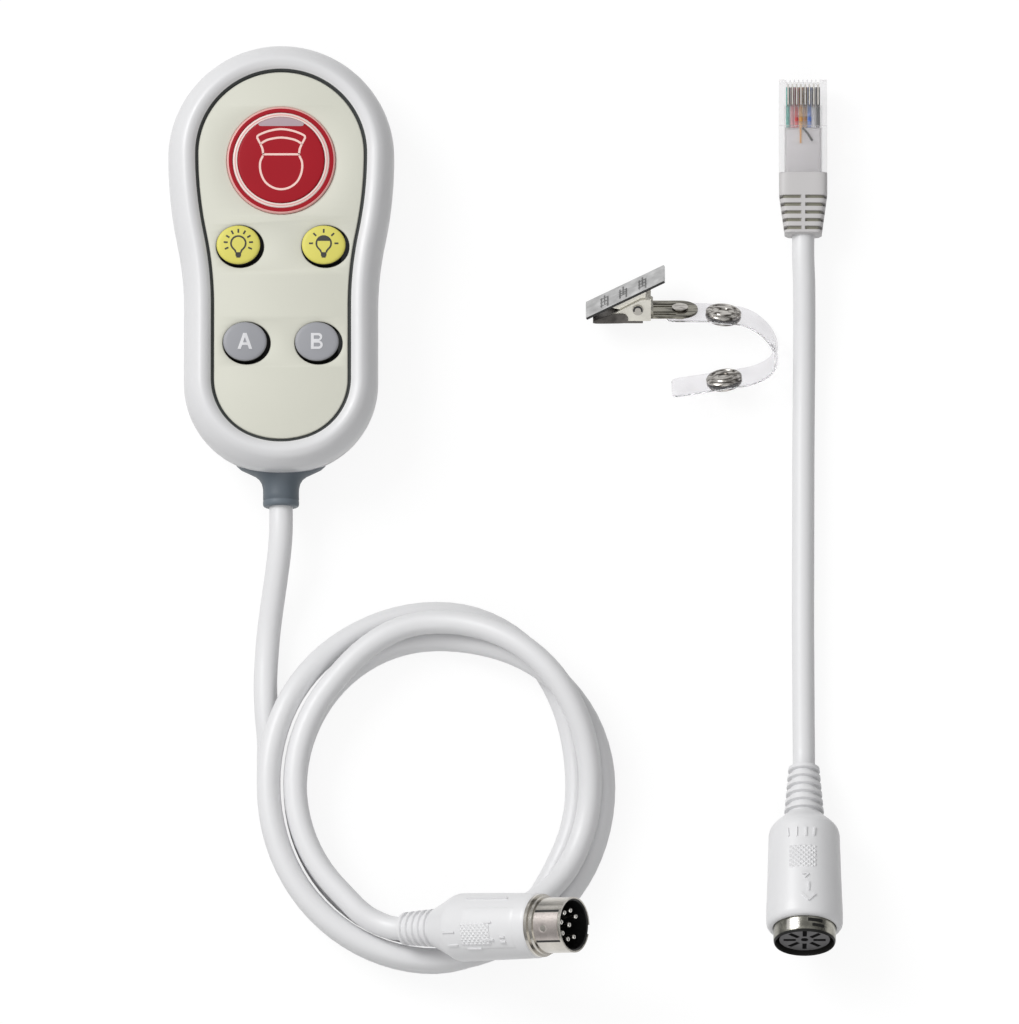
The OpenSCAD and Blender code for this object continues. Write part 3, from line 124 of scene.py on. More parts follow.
class Solid:
    """Collects surfaces in millimetres and makes one piece of them."""

    def __init__(self, matrix=None, origin=(0, 0, 0)):
        self.matrix = np.eye(3) if matrix is None else matrix
        self.origin = origin
        self.points, self.faces, self.finish_index, self.count = [], [], [], 0

    def add(self, points, faces, finish=0):
        points = placed(np.asarray(points, float).reshape(-1, 3), self.matrix, self.origin)
        faces = np.asarray(faces, int) + self.count
        self.points.append(points)
        self.faces += faces.tolist()
        self.finish_index += np.broadcast_to(finish, len(faces)).tolist()
        self.count += len(points)

    def grid(self, p, wrap_rows=False, wrap_cols=True, finish=0):
        """Four-sided faces over a grid of points, closed round its columns or rows where asked. The finish
        is one number, a column of one a row, or a table of one a face."""
        rows, cols = p.shape[:2]
        r, c = np.meshgrid(np.arange(rows if wrap_rows else rows - 1),
                           np.arange(cols if wrap_cols else cols - 1), indexing="ij")
        r2, c2 = (r + 1) % rows, (c + 1) % cols
        self.add(p, np.stack([r * cols + c, r * cols + c2, r2 * cols + c2, r2 * cols + c], -1).reshape(-1, 4),
                 np.broadcast_to(finish, r.shape).ravel())

    def plate(self, outline, holes, z, finish=0):
        """Flat face at height z inside an outline, with holes."""
        loops = [np.column_stack([o, np.full(len(o), float(z))]) for o in [outline, *holes]]
        triangles = tessellate_polygon([[Vector(p) for p in loop] for loop in loops])
        self.add(np.vstack(loops), triangles, finish)

    def prism(self, outline, low, high, holes=(), wall=0, cap=0):
        """Outline carried from one height to another, with flat ends and straight holes."""
        for z in (low, high):
            self.plate(np.asarray(outline, float), holes, z, cap)
        for loop in (np.asarray(outline, float), *holes):
            self.grid(np.stack([np.column_stack([loop, np.full(len(loop), float(z))]) for z in (low, high)]),
                      finish=wall)

    def slab(self, top, bottom, finish=0):
        """Closed body between two open grids of the same size."""
        self.grid(top, wrap_cols=False, finish=finish)
        self.grid(bottom, wrap_cols=False, finish=finish)
        for a, b in ((top[0], bottom[0]), (top[-1], bottom[-1]), (top[:, 0], bottom[:, 0]),
                     (top[:, -1], bottom[:, -1])):
            self.grid(np.stack([a, b]), wrap_cols=False, finish=finish)

    def ribbon(self, line, width, z, height, finish=0, closed=False):
        """Flat stroke along a line: each point gives two, half a width to either side."""
        p = np.asarray(line, float)
        if closed:
            q = np.vstack([p[-1:], p, p[:1]])
            t = q[2:] - q[:-2]
        else:
            t = np.gradient(p, axis=0)
        n = np.column_stack([-t[:, 1], t[:, 0]]) / np.linalg.norm(t, axis=1)[:, None] * width / 2
        left, right = p + n, p - n
        ring = np.stack([np.column_stack([a, np.full(len(a), float(h))])
                         for a, h in ((left, z), (right, z), (right, z + height), (left, z + height))], 1)
        self.grid(ring, wrap_rows=closed, finish=finish)
        if not closed:
            self.add(ring[0], [[0, 1, 2, 3]], finish)
            self.add(ring[-1], [[0, 1, 2, 3]], finish)

    def make(self, name, finishes, body=ROOT, stands_for=(), crease=32):
        """Makes the object in metres: its named finishes, its body and the nodes it stands for."""
        mesh = bpy.data.meshes.new(name)
        mesh.from_pydata((np.vstack(self.points) * MM).tolist(), [], self.faces)
        mesh.polygons.foreach_set("material_index", self.finish_index)
        work = bmesh.new()
        work.from_mesh(mesh)
        bmesh.ops.remove_doubles(work, verts=work.verts, dist=WELD)
        bmesh.ops.recalc_face_normals(work, faces=work.faces)
        work.to_mesh(mesh)
        work.free()
        mesh.shade_smooth()
        mesh.set_sharp_from_angle(angle=math.radians(crease))
        for finish in finishes:
            mesh.materials.append(FINISHES[finish])
        piece = bpy.data.objects.new(name, mesh)
        bpy.context.scene.collection.objects.link(piece)
        if stands_for:
            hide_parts(*stands_for)
        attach(piece, body)
        return piece


# Finishes

FINISHES = {}


class Finish:
    """Short way to lay out a material's nodes."""

    def __init__(self, name):
        self.name = name
        self.material = bpy.data.materials.new(name)
        self.material.use_nodes = True
        self.tree = self.material.node_tree
        self.shader = self.tree.nodes["Principled BSDF"]
        self.place = self.node("ShaderNodeTexCoord").outputs["Object"]

    def node(self, kind, **values):
        made = self.tree.nodes.new(kind)
        for key, value in values.items():
            setattr(made, key, value)
        return made

    def link(self, source, target):
        self.tree.links.new(source, target)

    def noise(self, scale, detail=2.0, stretch=None):
        """Noise over Object coordinates, drawn out along an axis if asked; scale is in grains a metre."""
        place = self.place
        if stretch:
            drawn = self.node("ShaderNodeMapping")
            drawn.inputs["Scale"].default_value = stretch
            self.link(place, drawn.inputs["Vector"])
            place = drawn.outputs["Vector"]
        made = self.node("ShaderNodeTexNoise")
        made.inputs["Scale"].default_value = scale
        made.inputs["Detail"].default_value = detail
        self.link(place, made.inputs["Vector"])
        return made.outputs["Fac"]

    def span(self, value, low, high, source=(0.3, 0.7)):
        made = self.node("ShaderNodeMapRange")
        for key, number in zip(("From Min", "From Max", "To Min", "To Max"), (*source, low, high)):
            made.inputs[key].default_value = number
        self.link(value, made.inputs["Value"])
        return made.outputs["Result"]

    def mix(self, factor, first, second):
        made = self.node("ShaderNodeMix", data_type="RGBA")
        self.link(factor, made.inputs[0])
        for socket, value in ((made.inputs[6], first), (made.inputs[7], second)):
            if isinstance(value, tuple):
                socket.default_value = (*value[:3], 1.0)
            else:
                self.link(value, socket)
        return made.outputs[2]

    def bump(self, height, strength, distance):
        made = self.node("ShaderNodeBump")
        made.inputs["Strength"].default_value = strength
        made.inputs["Distance"].default_value = distance
        self.link(height, made.inputs["Height"])
        self.link(made.outputs["Normal"], self.shader.inputs["Normal"])

    def done(self, **sockets):
        for key, value in sockets.items():
            name = key.replace("_", " ")
            if isinstance(value, (int, float)):
                self.shader.inputs[name].default_value = value
            elif isinstance(value, tuple):
                self.shader.inputs[name].default_value = (*value[:3], 1.0)
            else:
                self.link(value, self.shader.inputs[name])
        FINISHES[self.name] = self.material
        return self.material


def darker(colour, share):
    return tuple(c * share for c in colour[:3])


def moulded(name, colour, rough=0.4, grain=9000.0, depth=0.00002, mottle=0.97, **more):
    """Moulded plastic or rubber: fine grain in the bump, a slow change of tone and of roughness."""
    f = Finish(name)
    tone = f.mix(f.span(f.noise(90.0, 3.0), 0, 1), darker(colour, mottle), tuple(colour))
    f.bump(f.noise(grain), 0.25, depth)
    return f.done(Base_Color=tone, Roughness=f.span(f.noise(400.0, 3.0), rough - 0.04, rough + 0.05), **more)


def plated(name, colour, rough=0.22, wear=0.75):
    """Plated or stamped metal: fine scratches along one way, darker cloudy patches and rub marks."""
    f = Finish(name)
    lines = f.noise(2200.0, 4.0, (1.0, 1.0, 14.0))
    tone = f.mix(f.span(f.noise(320.0, 4.0), 0, 1), darker(colour, wear), tuple(colour))
    f.bump(lines, 0.15, 0.00002)
    return f.done(Base_Color=tone, Metallic=1.0, Roughness=f.span(lines, rough - 0.06, rough + 0.1))


def streaked(name, colour, dark):
    """Stamped metal with dark streaks that run along the object's x axis."""
    f = Finish(name)
    bands = f.noise(1100.0, 3.0, (0.22, 1.0, 1.0))
    tone = f.mix(f.span(bands, 0, 1, (0.42, 0.56)), dark, colour)
    f.bump(bands, 0.3, 0.0001)
    return f.done(Base_Color=tone, Metallic=1.0, Roughness=f.span(f.noise(600.0), 0.22, 0.34))


def clear(name, colour, rough, through, ior=1.49, cloud=0.9, open_share=0):
    """Clear plastic: light goes through it, with faint clouding and a wavy skin. The open share passes the
    light straight on, so that what lies inside is lit."""
    f = Finish(name)
    tone = f.mix(f.span(f.noise(160.0, 3.0), 0, 1), darker(colour, cloud), tuple(colour))
    f.bump(f.noise(500.0), 0.2, 0.00004)
    return f.done(Base_Color=tone, Roughness=f.span(f.noise(700.0), rough, rough + 0.08),
                  Transmission_Weight=through, IOR=ior, Alpha=1.0 - open_share)


def paint_node(name, finish):
    """Gives a packed node its finish, on every face."""
    mesh = NODES[name].data
    mesh.materials.clear()
    mesh.materials.append(finish)


# Settings

def size(label, value, words):
    return FloatProperty(name=label, description=words, default=value * MM, unit="LENGTH", precision=4)


def angle(label, degrees, words):
    return FloatProperty(name=label, description=words, default=math.radians(degrees), subtype="ANGLE")


def colour(label, value, words):
    return FloatVectorProperty(name=label, description=words, default=value, size=3, subtype="COLOR",
                               min=0, max=1)


class HousingSettings(bpy.types.PropertyGroup):
    """Outline and section of the handset."""
    body_length: size("Length", 103, "Head to foot")
    head_radius: size("Head radius", 26.9, "Radius of the round head")
    waist_half: size("Waist", 23.1, "Half width at the waist")
    waist_drop: size("Waist height", 12, "Where the waist begins, below the middle")
    flank_radius: size("Flank radius", 100, "Radius of the flanks below the head")
    toe_radius: size("Toe radius", 21.5, "Radius of the foot's corners")
    sole_radius: size("Sole radius", 26, "Radius of the foot's bottom edge")
    parting: size("Parting", 12, "Height of the joint between the shells")
    rim_height: size("Rim height", 22, "Height of the rim's top")
    rim_width: size("Rim width", 6.9, "Outline to keypad")
    deck_height: size("Deck", 19.2, "Height of the deck below the keypad")
    keypad_thickness: size("Keypad", 1.2, "Thickness of the keypad sheet")
    shell_colour: colour("Shell", (0.76, 0.76, 0.77), "White shells")
    keypad_colour: colour("Keypad", (0.70, 0.70, 0.61), "Pale keypad sheet")


class KeySettings(bpy.types.PropertyGroup):
    """Call button and keys."""
    call_height: size("Call height", 22.9, "Call button's centre above the middle")
    call_radius: size("Call radius", 10.3, "Radius of the red disc")
    lamp_side: size("Lamp key side", 10.15, "Lamp keys' distance from the middle")
    lamp_height: size("Lamp key height", 2.4, "Lamp keys' height above the middle")
    lamp_radius: size("Lamp key half width", 5.2, "Half width of the lamp keys")
    service_side: size("Service key side", 8.55, "Service keys' distance from the middle")
    service_height: size("Service key height", -20.95, "Service keys' height above the middle")
    service_radius: size("Service key half width", 5.2, "Half width of the service keys")
    oval: FloatProperty(name="Key oval", description="Key height over key width", default=0.9,
                        min=0.5, max=1)
    call_colour: colour("Call", (0.385, 0.004, 0.014), "Red of the call button")
    lamp_colour: colour("Lamp keys", (0.76, 0.70, 0.14), "Yellow of the lamp keys")
    service_colour: colour("Service keys", (0.35, 0.355, 0.38), "Grey of the service keys")


class LeadSettings(bpy.types.PropertyGroup):
    """Handset lead, its sleeve and its coil."""
    diameter: size("Diameter", 5.6, "Diameter of the handset's lead")
    outlet_height: size("Outlet", 9.5, "Height of the lead at the handset")
    coil_half_width: size("Coil half width", 36.65, "Middle line of the coil, across")
    coil_half_length: size("Coil half length", 38.9, "Middle line of the coil, along")
    coil_step: size("Coil step", 6.3, "From one lane of turns to the next")
    coil_rise: size("Coil rise", 6.1, "From one layer of turns to the next")
    lead_colour: colour("Lead", (0.80, 0.80, 0.81), "White of the leads")
    sleeve_colour: colour("Sleeve", (0.115, 0.14, 0.165), "Grey of the sleeve")


class PlugSettings(bpy.types.PropertyGroup):
    """Round plug at the end of the coiled lead."""
    tilt: angle("Tilt", 33, "Upward tilt")
    relief: size("Relief", 9, "Length of the ribbed relief")
    cone: size("Cone", 6, "Length of the cone")
    grip: size("Grip", 23.4, "Length of the grip")
    grip_radius: size("Grip radius", 8.1, "Radius of the grip at its rear")
    ribs: IntProperty(name="Ribs", description="Ribs on the relief", default=5, min=2, max=9)
    grip_colour: colour("Grip", (0.80, 0.80, 0.81), "White of the grips")


class AdapterSettings(bpy.types.PropertyGroup):
    """Adapter lead with its round socket and flat data plug."""
    diameter: size("Diameter", 5.3, "Diameter of the adapter's lead")
    side: size("Place", 124.3, "Distance from the handset's middle line")
    tilt: angle("Socket tilt", 15, "Upward tilt")
    relief: size("Relief", 12.7, "Length of the socket's relief")
    shoulder: size("Shoulder", 4.2, "Length of the shoulder")
    body: size("Body", 24.9, "Length of the socket's white body")
    cup_out: size("Cup", 4, "How far the metal cup stands out of the body")
    rear_radius: size("Rear radius", 8.45, "Radius at the shoulder")
    front_radius: size("Front radius", 9.1, "Radius at the mouth")
    flat_width: size("Flat plug width", 11.5, "Width of the flat plug")


class ClipSettings(bpy.types.PropertyGroup):
    """Garment clip and its clear strap."""
    lean: angle("Lean", 37, "Lean of the clip")
    width: size("Width", 8.5, "Width of the clip")
    strap_width: size("Strap width", 9.5, "Width of the strap")
    strap_thickness: size("Strap thickness", 0.8, "Thickness of the strap")
    snap_radius: size("Snap radius", 4.25, "Radius of the snap fasteners")
    steel_colour: colour("Steel", (0.50, 0.48, 0.44), "Stamped steel")


class StageSettings(bpy.types.PropertyGroup):
    """Camera, floor and light."""
    field: size("Field", 242.6, "Width of the view at the floor")
    reach: size("Reach", 8000, "Camera to the middle of the kit")
    elevation: angle("Elevation", 80, "Camera above the horizon")
    floor_colour: colour("Floor", (0.5, 0.5, 0.5), "Floor as the light finds it")


SETTINGS = {"nc_housing": HousingSettings, "nc_keys": KeySettings, "nc_lead": LeadSettings,
            "nc_plug": PlugSettings, "nc_adapter": AdapterSettings, "nc_clip": ClipSettings,
            "nc_stage": StageSettings}


def mm(value):
    return value / MM


# Shared shapes

def body_outline(h, growth):
    """Closed outline of the handset grown by a distance: head circle, convex flank, hollow waist, toe and
    sole arcs that meet in line, and their mirror image. It runs clockwise from the top."""
    top, head_r = mm(h.body_length) / 2, mm(h.head_radius)
    waist, waist_y = mm(h.waist_half), -mm(h.waist_drop)
    head_y, flank = top - head_r, mm(h.flank_radius)
    bend = 2 * math.degrees(math.atan((head_r - waist) / (head_y - waist_y)))
    hollow = (head_y - waist_y) / math.sin(math.radians(bend)) - flank
    sole, toe = mm(h.sole_radius), mm(h.toe_radius)
    sole_y, toe_x = -top + sole, waist - toe
    toe_y = sole_y - math.sqrt((sole - toe) ** 2 - toe_x ** 2)
    toe_turn = math.degrees(math.atan2(sole_y - toe_y, toe_x))
    half = np.vstack([
        arc(0, head_y, head_r + growth, 90, 0, 44),
        arc(head_r - flank, head_y, flank + growth, 0, -bend, 10)[1:],
        arc(waist + hollow, waist_y, hollow - growth, 180 - bend, 180, 10)[1:],
        np.column_stack([np.full(6, waist + growth), np.linspace(waist_y, toe_y, 8)[1:-1]]),
        arc(toe_x, toe_y, toe + growth, 0, -toe_turn, 30),
        arc(0, sole_y, sole + growth, -toe_turn, -90, 12)[1:]])
    return np.vstack([half, half[-2:0:-1] * [-1, 1]])


def body_rows(h, section):
    """Grid through grown outlines: row k is the outline grown by section[k][0] at height section[k][1]."""
    return np.stack([np.column_stack([o, np.full(len(o), z)])
                     for g, z in section for o in [body_outline(h, g)]])


HEAD_POST_SIDE = 17
HEAD_POST_RISE = 9.4
TOE_POST = (14.6, -34.0)
SCREW_HOLE = 2.6
SCREW_WELL = 3
KEY_FOOT = 14.1
CALL_FOOT = 14.3
HIDDEN_RIM = 16.1
KEY_DOME = 0.35
CALL_HOLE = 13.0
HOLE_RIGHT = 0.42
HOLE_DOWN = 0.3
HOLE_ROOM = 0.5
LETTER_RISE = 0.12


def case_posts(h):
    """Middles of the four screw holes in the handset's back."""
    head_y = mm(h.body_length) / 2 - mm(h.head_radius) + HEAD_POST_RISE
    return [(s * x, y) for s in (-1, 1) for x, y in ((HEAD_POST_SIDE, head_y), TOE_POST)]


def key_places(k):
    """Middle and half width of each of the four keys."""
    a, b = (mm(k.lamp_side), mm(k.lamp_height)), (mm(k.service_side), mm(k.service_height))
    lamp, service = mm(k.lamp_radius), mm(k.service_radius)
    return [((-a[0], a[1]), lamp), (a, lamp), ((-b[0], b[1]), service), (b, service)]


def ribbed(start, end, r_start, r_end, count, deep):
    """Profile of a ribbed sleeve: full radius on each rib, less in each groove, with eased corners."""
    i, k = np.meshgrid(np.arange(count), np.arange(8), indexing="ij")
    along = np.array([0.04, 0.10, 0.48, 0.54, 0.58, 0.62, 0.92, 0.98])[k]
    down = np.array([0.25, 0.0, 0.0, 0.25, 0.8, 1.0, 1.0, 0.8])[k]
    s = start + (end - start) * (i + along) / count
    r = r_start + (r_end - r_start) * (s - start) / (end - start) - deep * down
    return np.column_stack([r.ravel(), s.ravel()])


def diamonds(u, v, pitch):
    """Height from 0 to 1 of small pyramids: one less the greater slope of two crossed saw waves."""
    a, b = (u + v) / pitch, (u - v) / pitch
    tri = lambda x: np.abs((x % 1) - 0.5) * 2
    return 1 - np.maximum(tri(a), tri(b))


# Operators

class Maker:
    """Shared form of the operators: each makes its pieces or raises an error."""
    bl_options = {"REGISTER", "UNDO"}

    def execute(self, context):
        self.build(context.scene)
        return {"FINISHED"}


FILM_WIDTH = 36
AIM = Vector((0.05433, -0.05841, 0))
FLOOR_HALF = 6
FLOOR_LEVEL = -0.0004
FLOOR_SEEN = 0.16
FLOOR_GLOW = 0.87
LAMPS = (("key_light", (-1.1, 0.72, 1.35), 0.9, 18.0), ("fill_light", (0.25, -1.3, 1.1), 1.2, 5.5))
SKY_WAY = (-0.35, 0.25, 0.9)
SKY_LEVELS = (("From Max", 0.9), ("To Min", 0.08), ("To Max", 0.72))


class NC_OT_stage(Maker, bpy.types.Operator):
    """Sets the camera, the pale floor and the soft lights"""
    bl_idname = "nurse_call.stage"
    bl_label = "Stage and Camera"

    def build(self, scene):
        st = scene.nc_stage
        elev = st.elevation
        camera = bpy.data.cameras.new("camera")
        camera.sensor_fit = "HORIZONTAL"
        camera.sensor_width = FILM_WIDTH
        camera.lens = FILM_WIDTH * st.reach / st.field
        camera.clip_end = 2 * st.reach
        eye = bpy.data.objects.new("camera", camera)
        eye.location = AIM + st.reach * Vector((0, -math.cos(elev), math.sin(elev)))
        eye.rotation_euler = (math.pi / 2 - elev, 0, 0)
        scene.collection.objects.link(eye)
        scene.camera = eye

        f = Finish("floor_pale")
        f.tree.nodes.remove(f.shader)
        out = f.tree.nodes["Material Output"]
        path = f.node("ShaderNodeLightPath")
        matt, seen, glow, add, mix = (f.node("ShaderNodeBsdfDiffuse"), f.node("ShaderNodeBsdfDiffuse"),
                                      f.node("ShaderNodeEmission"), f.node("ShaderNodeAddShader"),
                                      f.node("ShaderNodeMixShader"))
        matt.inputs["Color"].default_value = (*st.floor_colour, 1)
        seen.inputs["Color"].default_value = (FLOOR_SEEN, FLOOR_SEEN, FLOOR_SEEN, 1)
        glow.inputs["Color"].default_value = (1, 1, 1, 1)
        glow.inputs["Strength"].default_value = FLOOR_GLOW
        f.link(seen.outputs[0], add.inputs[0])
        f.link(glow.outputs[0], add.inputs[1])
        mirrored = f.node("ShaderNodeMath", operation="MAXIMUM")
        f.link(path.outputs["Is Glossy Ray"], mirrored.inputs[0])
        f.link(path.outputs["Is Transmission Ray"], mirrored.inputs[1])
        most = f.node("ShaderNodeMath", operation="MAXIMUM")
        f.link(path.outputs["Is Camera Ray"], most.inputs[0])
        f.link(mirrored.outputs[0], most.inputs[1])
        f.link(most.outputs[0], mix.inputs[0])
        f.link(matt.outputs[0], mix.inputs[1])
        f.link(add.outputs[0], mix.inputs[2])
        f.link(mix.outputs[0], out.inputs["Surface"])
        mesh = bpy.data.meshes.new("floor")
        signs = ((-1, -1), (1, -1), (1, 1), (-1, 1))
        corners = [(x * FLOOR_HALF, y * FLOOR_HALF, FLOOR_LEVEL) for x, y in signs]
        mesh.from_pydata(corners, [], [(0, 1, 2, 3)])
        mesh.materials.append(f.material)
        floor = bpy.data.objects.new("floor", mesh)
        scene.collection.objects.link(floor)

        self.sky(scene)
        for name, place, width, power in LAMPS:
            lamp = bpy.data.lights.new(name, "AREA")
            lamp.size = width
            lamp.energy = power
            source = bpy.data.objects.new(name, lamp)
            source.location = place
            source.rotation_euler = (AIM - Vector(place)).to_track_quat("-Z", "Y").to_euler()
            scene.collection.objects.link(source)

    def sky(self, scene):
        """Soft sky: its strength rises with the way's dot product with a line up and to the left."""
        world = bpy.data.worlds.new("studio")
        scene.world = world
        world.use_nodes = True
        tree = world.node_tree
        way = tree.nodes.new("ShaderNodeTexCoord")
        lean = tree.nodes.new("ShaderNodeVectorMath")
        lean.operation = "DOT_PRODUCT"
        lean.inputs[1].default_value = SKY_WAY
        level = tree.nodes.new("ShaderNodeMapRange")
        for key, number in SKY_LEVELS:
            level.inputs[key].default_value = number
        back = tree.nodes["Background"]
        back.inputs["Color"].default_value = (1, 1, 1, 1)
        tree.links.new(way.outputs["Generated"], lean.inputs[0])
        tree.links.new(lean.outputs["Value"], level.inputs["Value"])
        tree.links.new(level.outputs["Result"], back.inputs["Strength"])


LEAD_ROUTE = [
    (0, -58.9, 9.5), (0, -64.5, 9.5), (-0.4, -70, 8.7), (-1.2, -76, 7), (-2.1, -82, 5.1), (-2.9, -88, 3.6),
    (-3.4, -94, 2.9), (-3.7, -100, 2.8), (-3.5, -107, 2.8), (-2.9, -114, 2.8)]
ADAPTER_ROUTE = [
    (124.3, -115, 2.75), (124.25, -109, 2.65), (124.2, -98, 2.65), (124.15, -85, 2.65), (124.2, -72, 2.65),
    (124.25, -58, 2.65), (124.3, -45, 2.65), (124.4, -33, 2.7), (124.5, -24, 3.1), (124.55, -16, 4),
    (124.55, -9, 5), (124.5, -3.5, 5.8)]
LANES = [(0, 1), (85, 1), (155, -1), (180, -1), (265, 1), (365, 1), (405, 1.12), (445, 1.12), (480, 1),
         (540, 1), (625, -1), (820, -1), (870, 0), (992, 0), (1042, -1), (1200, -1)]
LAYERS = [(0, 0), (290, 0), (340, 1), (472, 1), (522, 0), (525, 0), (582, 1), (639, 0), (778, 0),
          (845, 1.5), (882, 0.9), (942, 2.02), (1000, 1), (1080, 1), (1180, 1.6)]
COIL_MIDDLE = (36.9, -125.5)
COIL_END = 1125
PLUG_AT = np.array([29.5, -161.3, 14.4])
PLUG_YAW = -4.7
PLUG_COLLAR = 2
PLUG_SHELL = 6.6
WIRE_PITCH = 1.02
WIRE_RADIUS = 0.48
WIRE_END = 43.4
SOCKET_BACK = -137.2
FLAT_REAR = 7.3
FLAT_MID = 6.2


def eased(table, a):
    """Share at a degrees: between two entries it follows half of (1 - cos) of the way."""
    t = np.asarray(table, float)
    i = np.clip(np.searchsorted(t[:, 0], a, side="right") - 1, 0, len(t) - 2)
    f = (a - t[i, 0]) / (t[i + 1, 0] - t[i, 0])
    return t[i, 1] + (t[i + 1, 1] - t[i, 1]) * (1 - np.cos(np.pi * f)) / 2


def coil_points(c, a):
    """Flat oval spiral: the half axes change by the lane's share, the height by the layer's share."""
    a = np.asarray(a, float)
    out = mm(c.coil_step) / 2 * eased(LANES, a)
    return np.stack([COIL_MIDDLE[0] - (mm(c.coil_half_width) + out) * np.cos(np.radians(a)),
                     COIL_MIDDLE[1] - (mm(c.coil_half_length) + out) * np.sin(np.radians(a)),
                     mm(c.diameter) / 2 + mm(c.coil_rise) * eased(LAYERS, a)], -1)


def bridge(p, a, q, b, n):
    """Cubic that leaves p along a and reaches q along b."""
    t = np.linspace(0, 1, n + 1)[:, None]
    return ((2 * t ** 3 - 3 * t * t + 1) * p + (t ** 3 - 2 * t * t + t) * a
            + (3 * t * t - 2 * t ** 3) * q + (t ** 3 - t * t) * b)


def plug_matrix(p):
    return turn("z", PLUG_YAW) @ turn("y", 90 - math.degrees(p.tilt))


def lead_path(scene):
    """Whole route of the handset's lead: down to the surface, round the coil and up into the plug."""
    c, d = scene.nc_lead, mm(scene.nc_lead.diameter)
    nose = plug_matrix(scene.nc_plug)[:, 2]
    first = coil_points(c, 0)
    end, before = coil_points(c, COIL_END), coil_points(c, COIL_END - 1)
    leave = (end - before) / np.linalg.norm(end - before)
    tail = end + leave * d
    start, stop = tail + 0.5 * leave, PLUG_AT - 0.5 * nose
    span = np.linalg.norm(stop - start)
    lead = smooth_line(LEAD_ROUTE + [tuple(first + [0, d, 0]), tuple(first)], 5)[:-1]
    turns = coil_points(c, np.arange(0, COIL_END + 0.1, 4.5))
    return np.vstack([lead, turns, [tail], bridge(start, 0.8 * leave * span, stop, 1.3 * nose * span, 9),
                      [PLUG_AT]])


class NC_OT_handset_lead(Maker, bpy.types.Operator):
    """Makes the handset's lead with its coil"""
    bl_idname = "nurse_call.handset_lead"
    bl_label = "Handset Lead"

    def build(self, scene):
        path = lead_path(scene)
        c = scene.nc_lead
        piece = Solid()
        piece.grid(tube(path, mm(c.diameter) / 2, 28))
        lead = piece.make("handset_lead", ["lead_vinyl"], crease=50,
                          stands_for=("cord_lead", "cord_coil", "cord_tail"))


def adapter_path(scene):
    """Route of the adapter's lead from the socket down, along the surface and up to the flat plug."""
    a = scene.nc_adapter
    d = mm(a.diameter)
    out = np.array([0, math.cos(a.tilt), -math.sin(a.tilt)])
    centre = np.array([mm(a.side), SOCKET_BACK, mm(a.rear_radius) * math.cos(a.tilt)])
    start = centre + out * (mm(a.relief) + mm(a.shoulder))
    points = [start, start + out * d * 0.6, *ADAPTER_ROUTE,
              (mm(a.side), FLAT_REAR - d, FLAT_MID), (mm(a.side), FLAT_REAR, FLAT_MID)]
    return smooth_line(points, 6)[::-1]


class NC_OT_adapter_lead(Maker, bpy.types.Operator):
    """Makes the adapter's lead"""
    bl_idname = "nurse_call.adapter_lead"
    bl_label = "Adapter Lead"

    def build(self, scene):
        path = adapter_path(scene)
        a = scene.nc_adapter
        piece = Solid()
        piece.grid(tube(path, mm(a.diameter) / 2, 28))
        lead = piece.make("adapter_lead", ["lead_vinyl"], crease=50,
                          stands_for=("adapter_cord",))


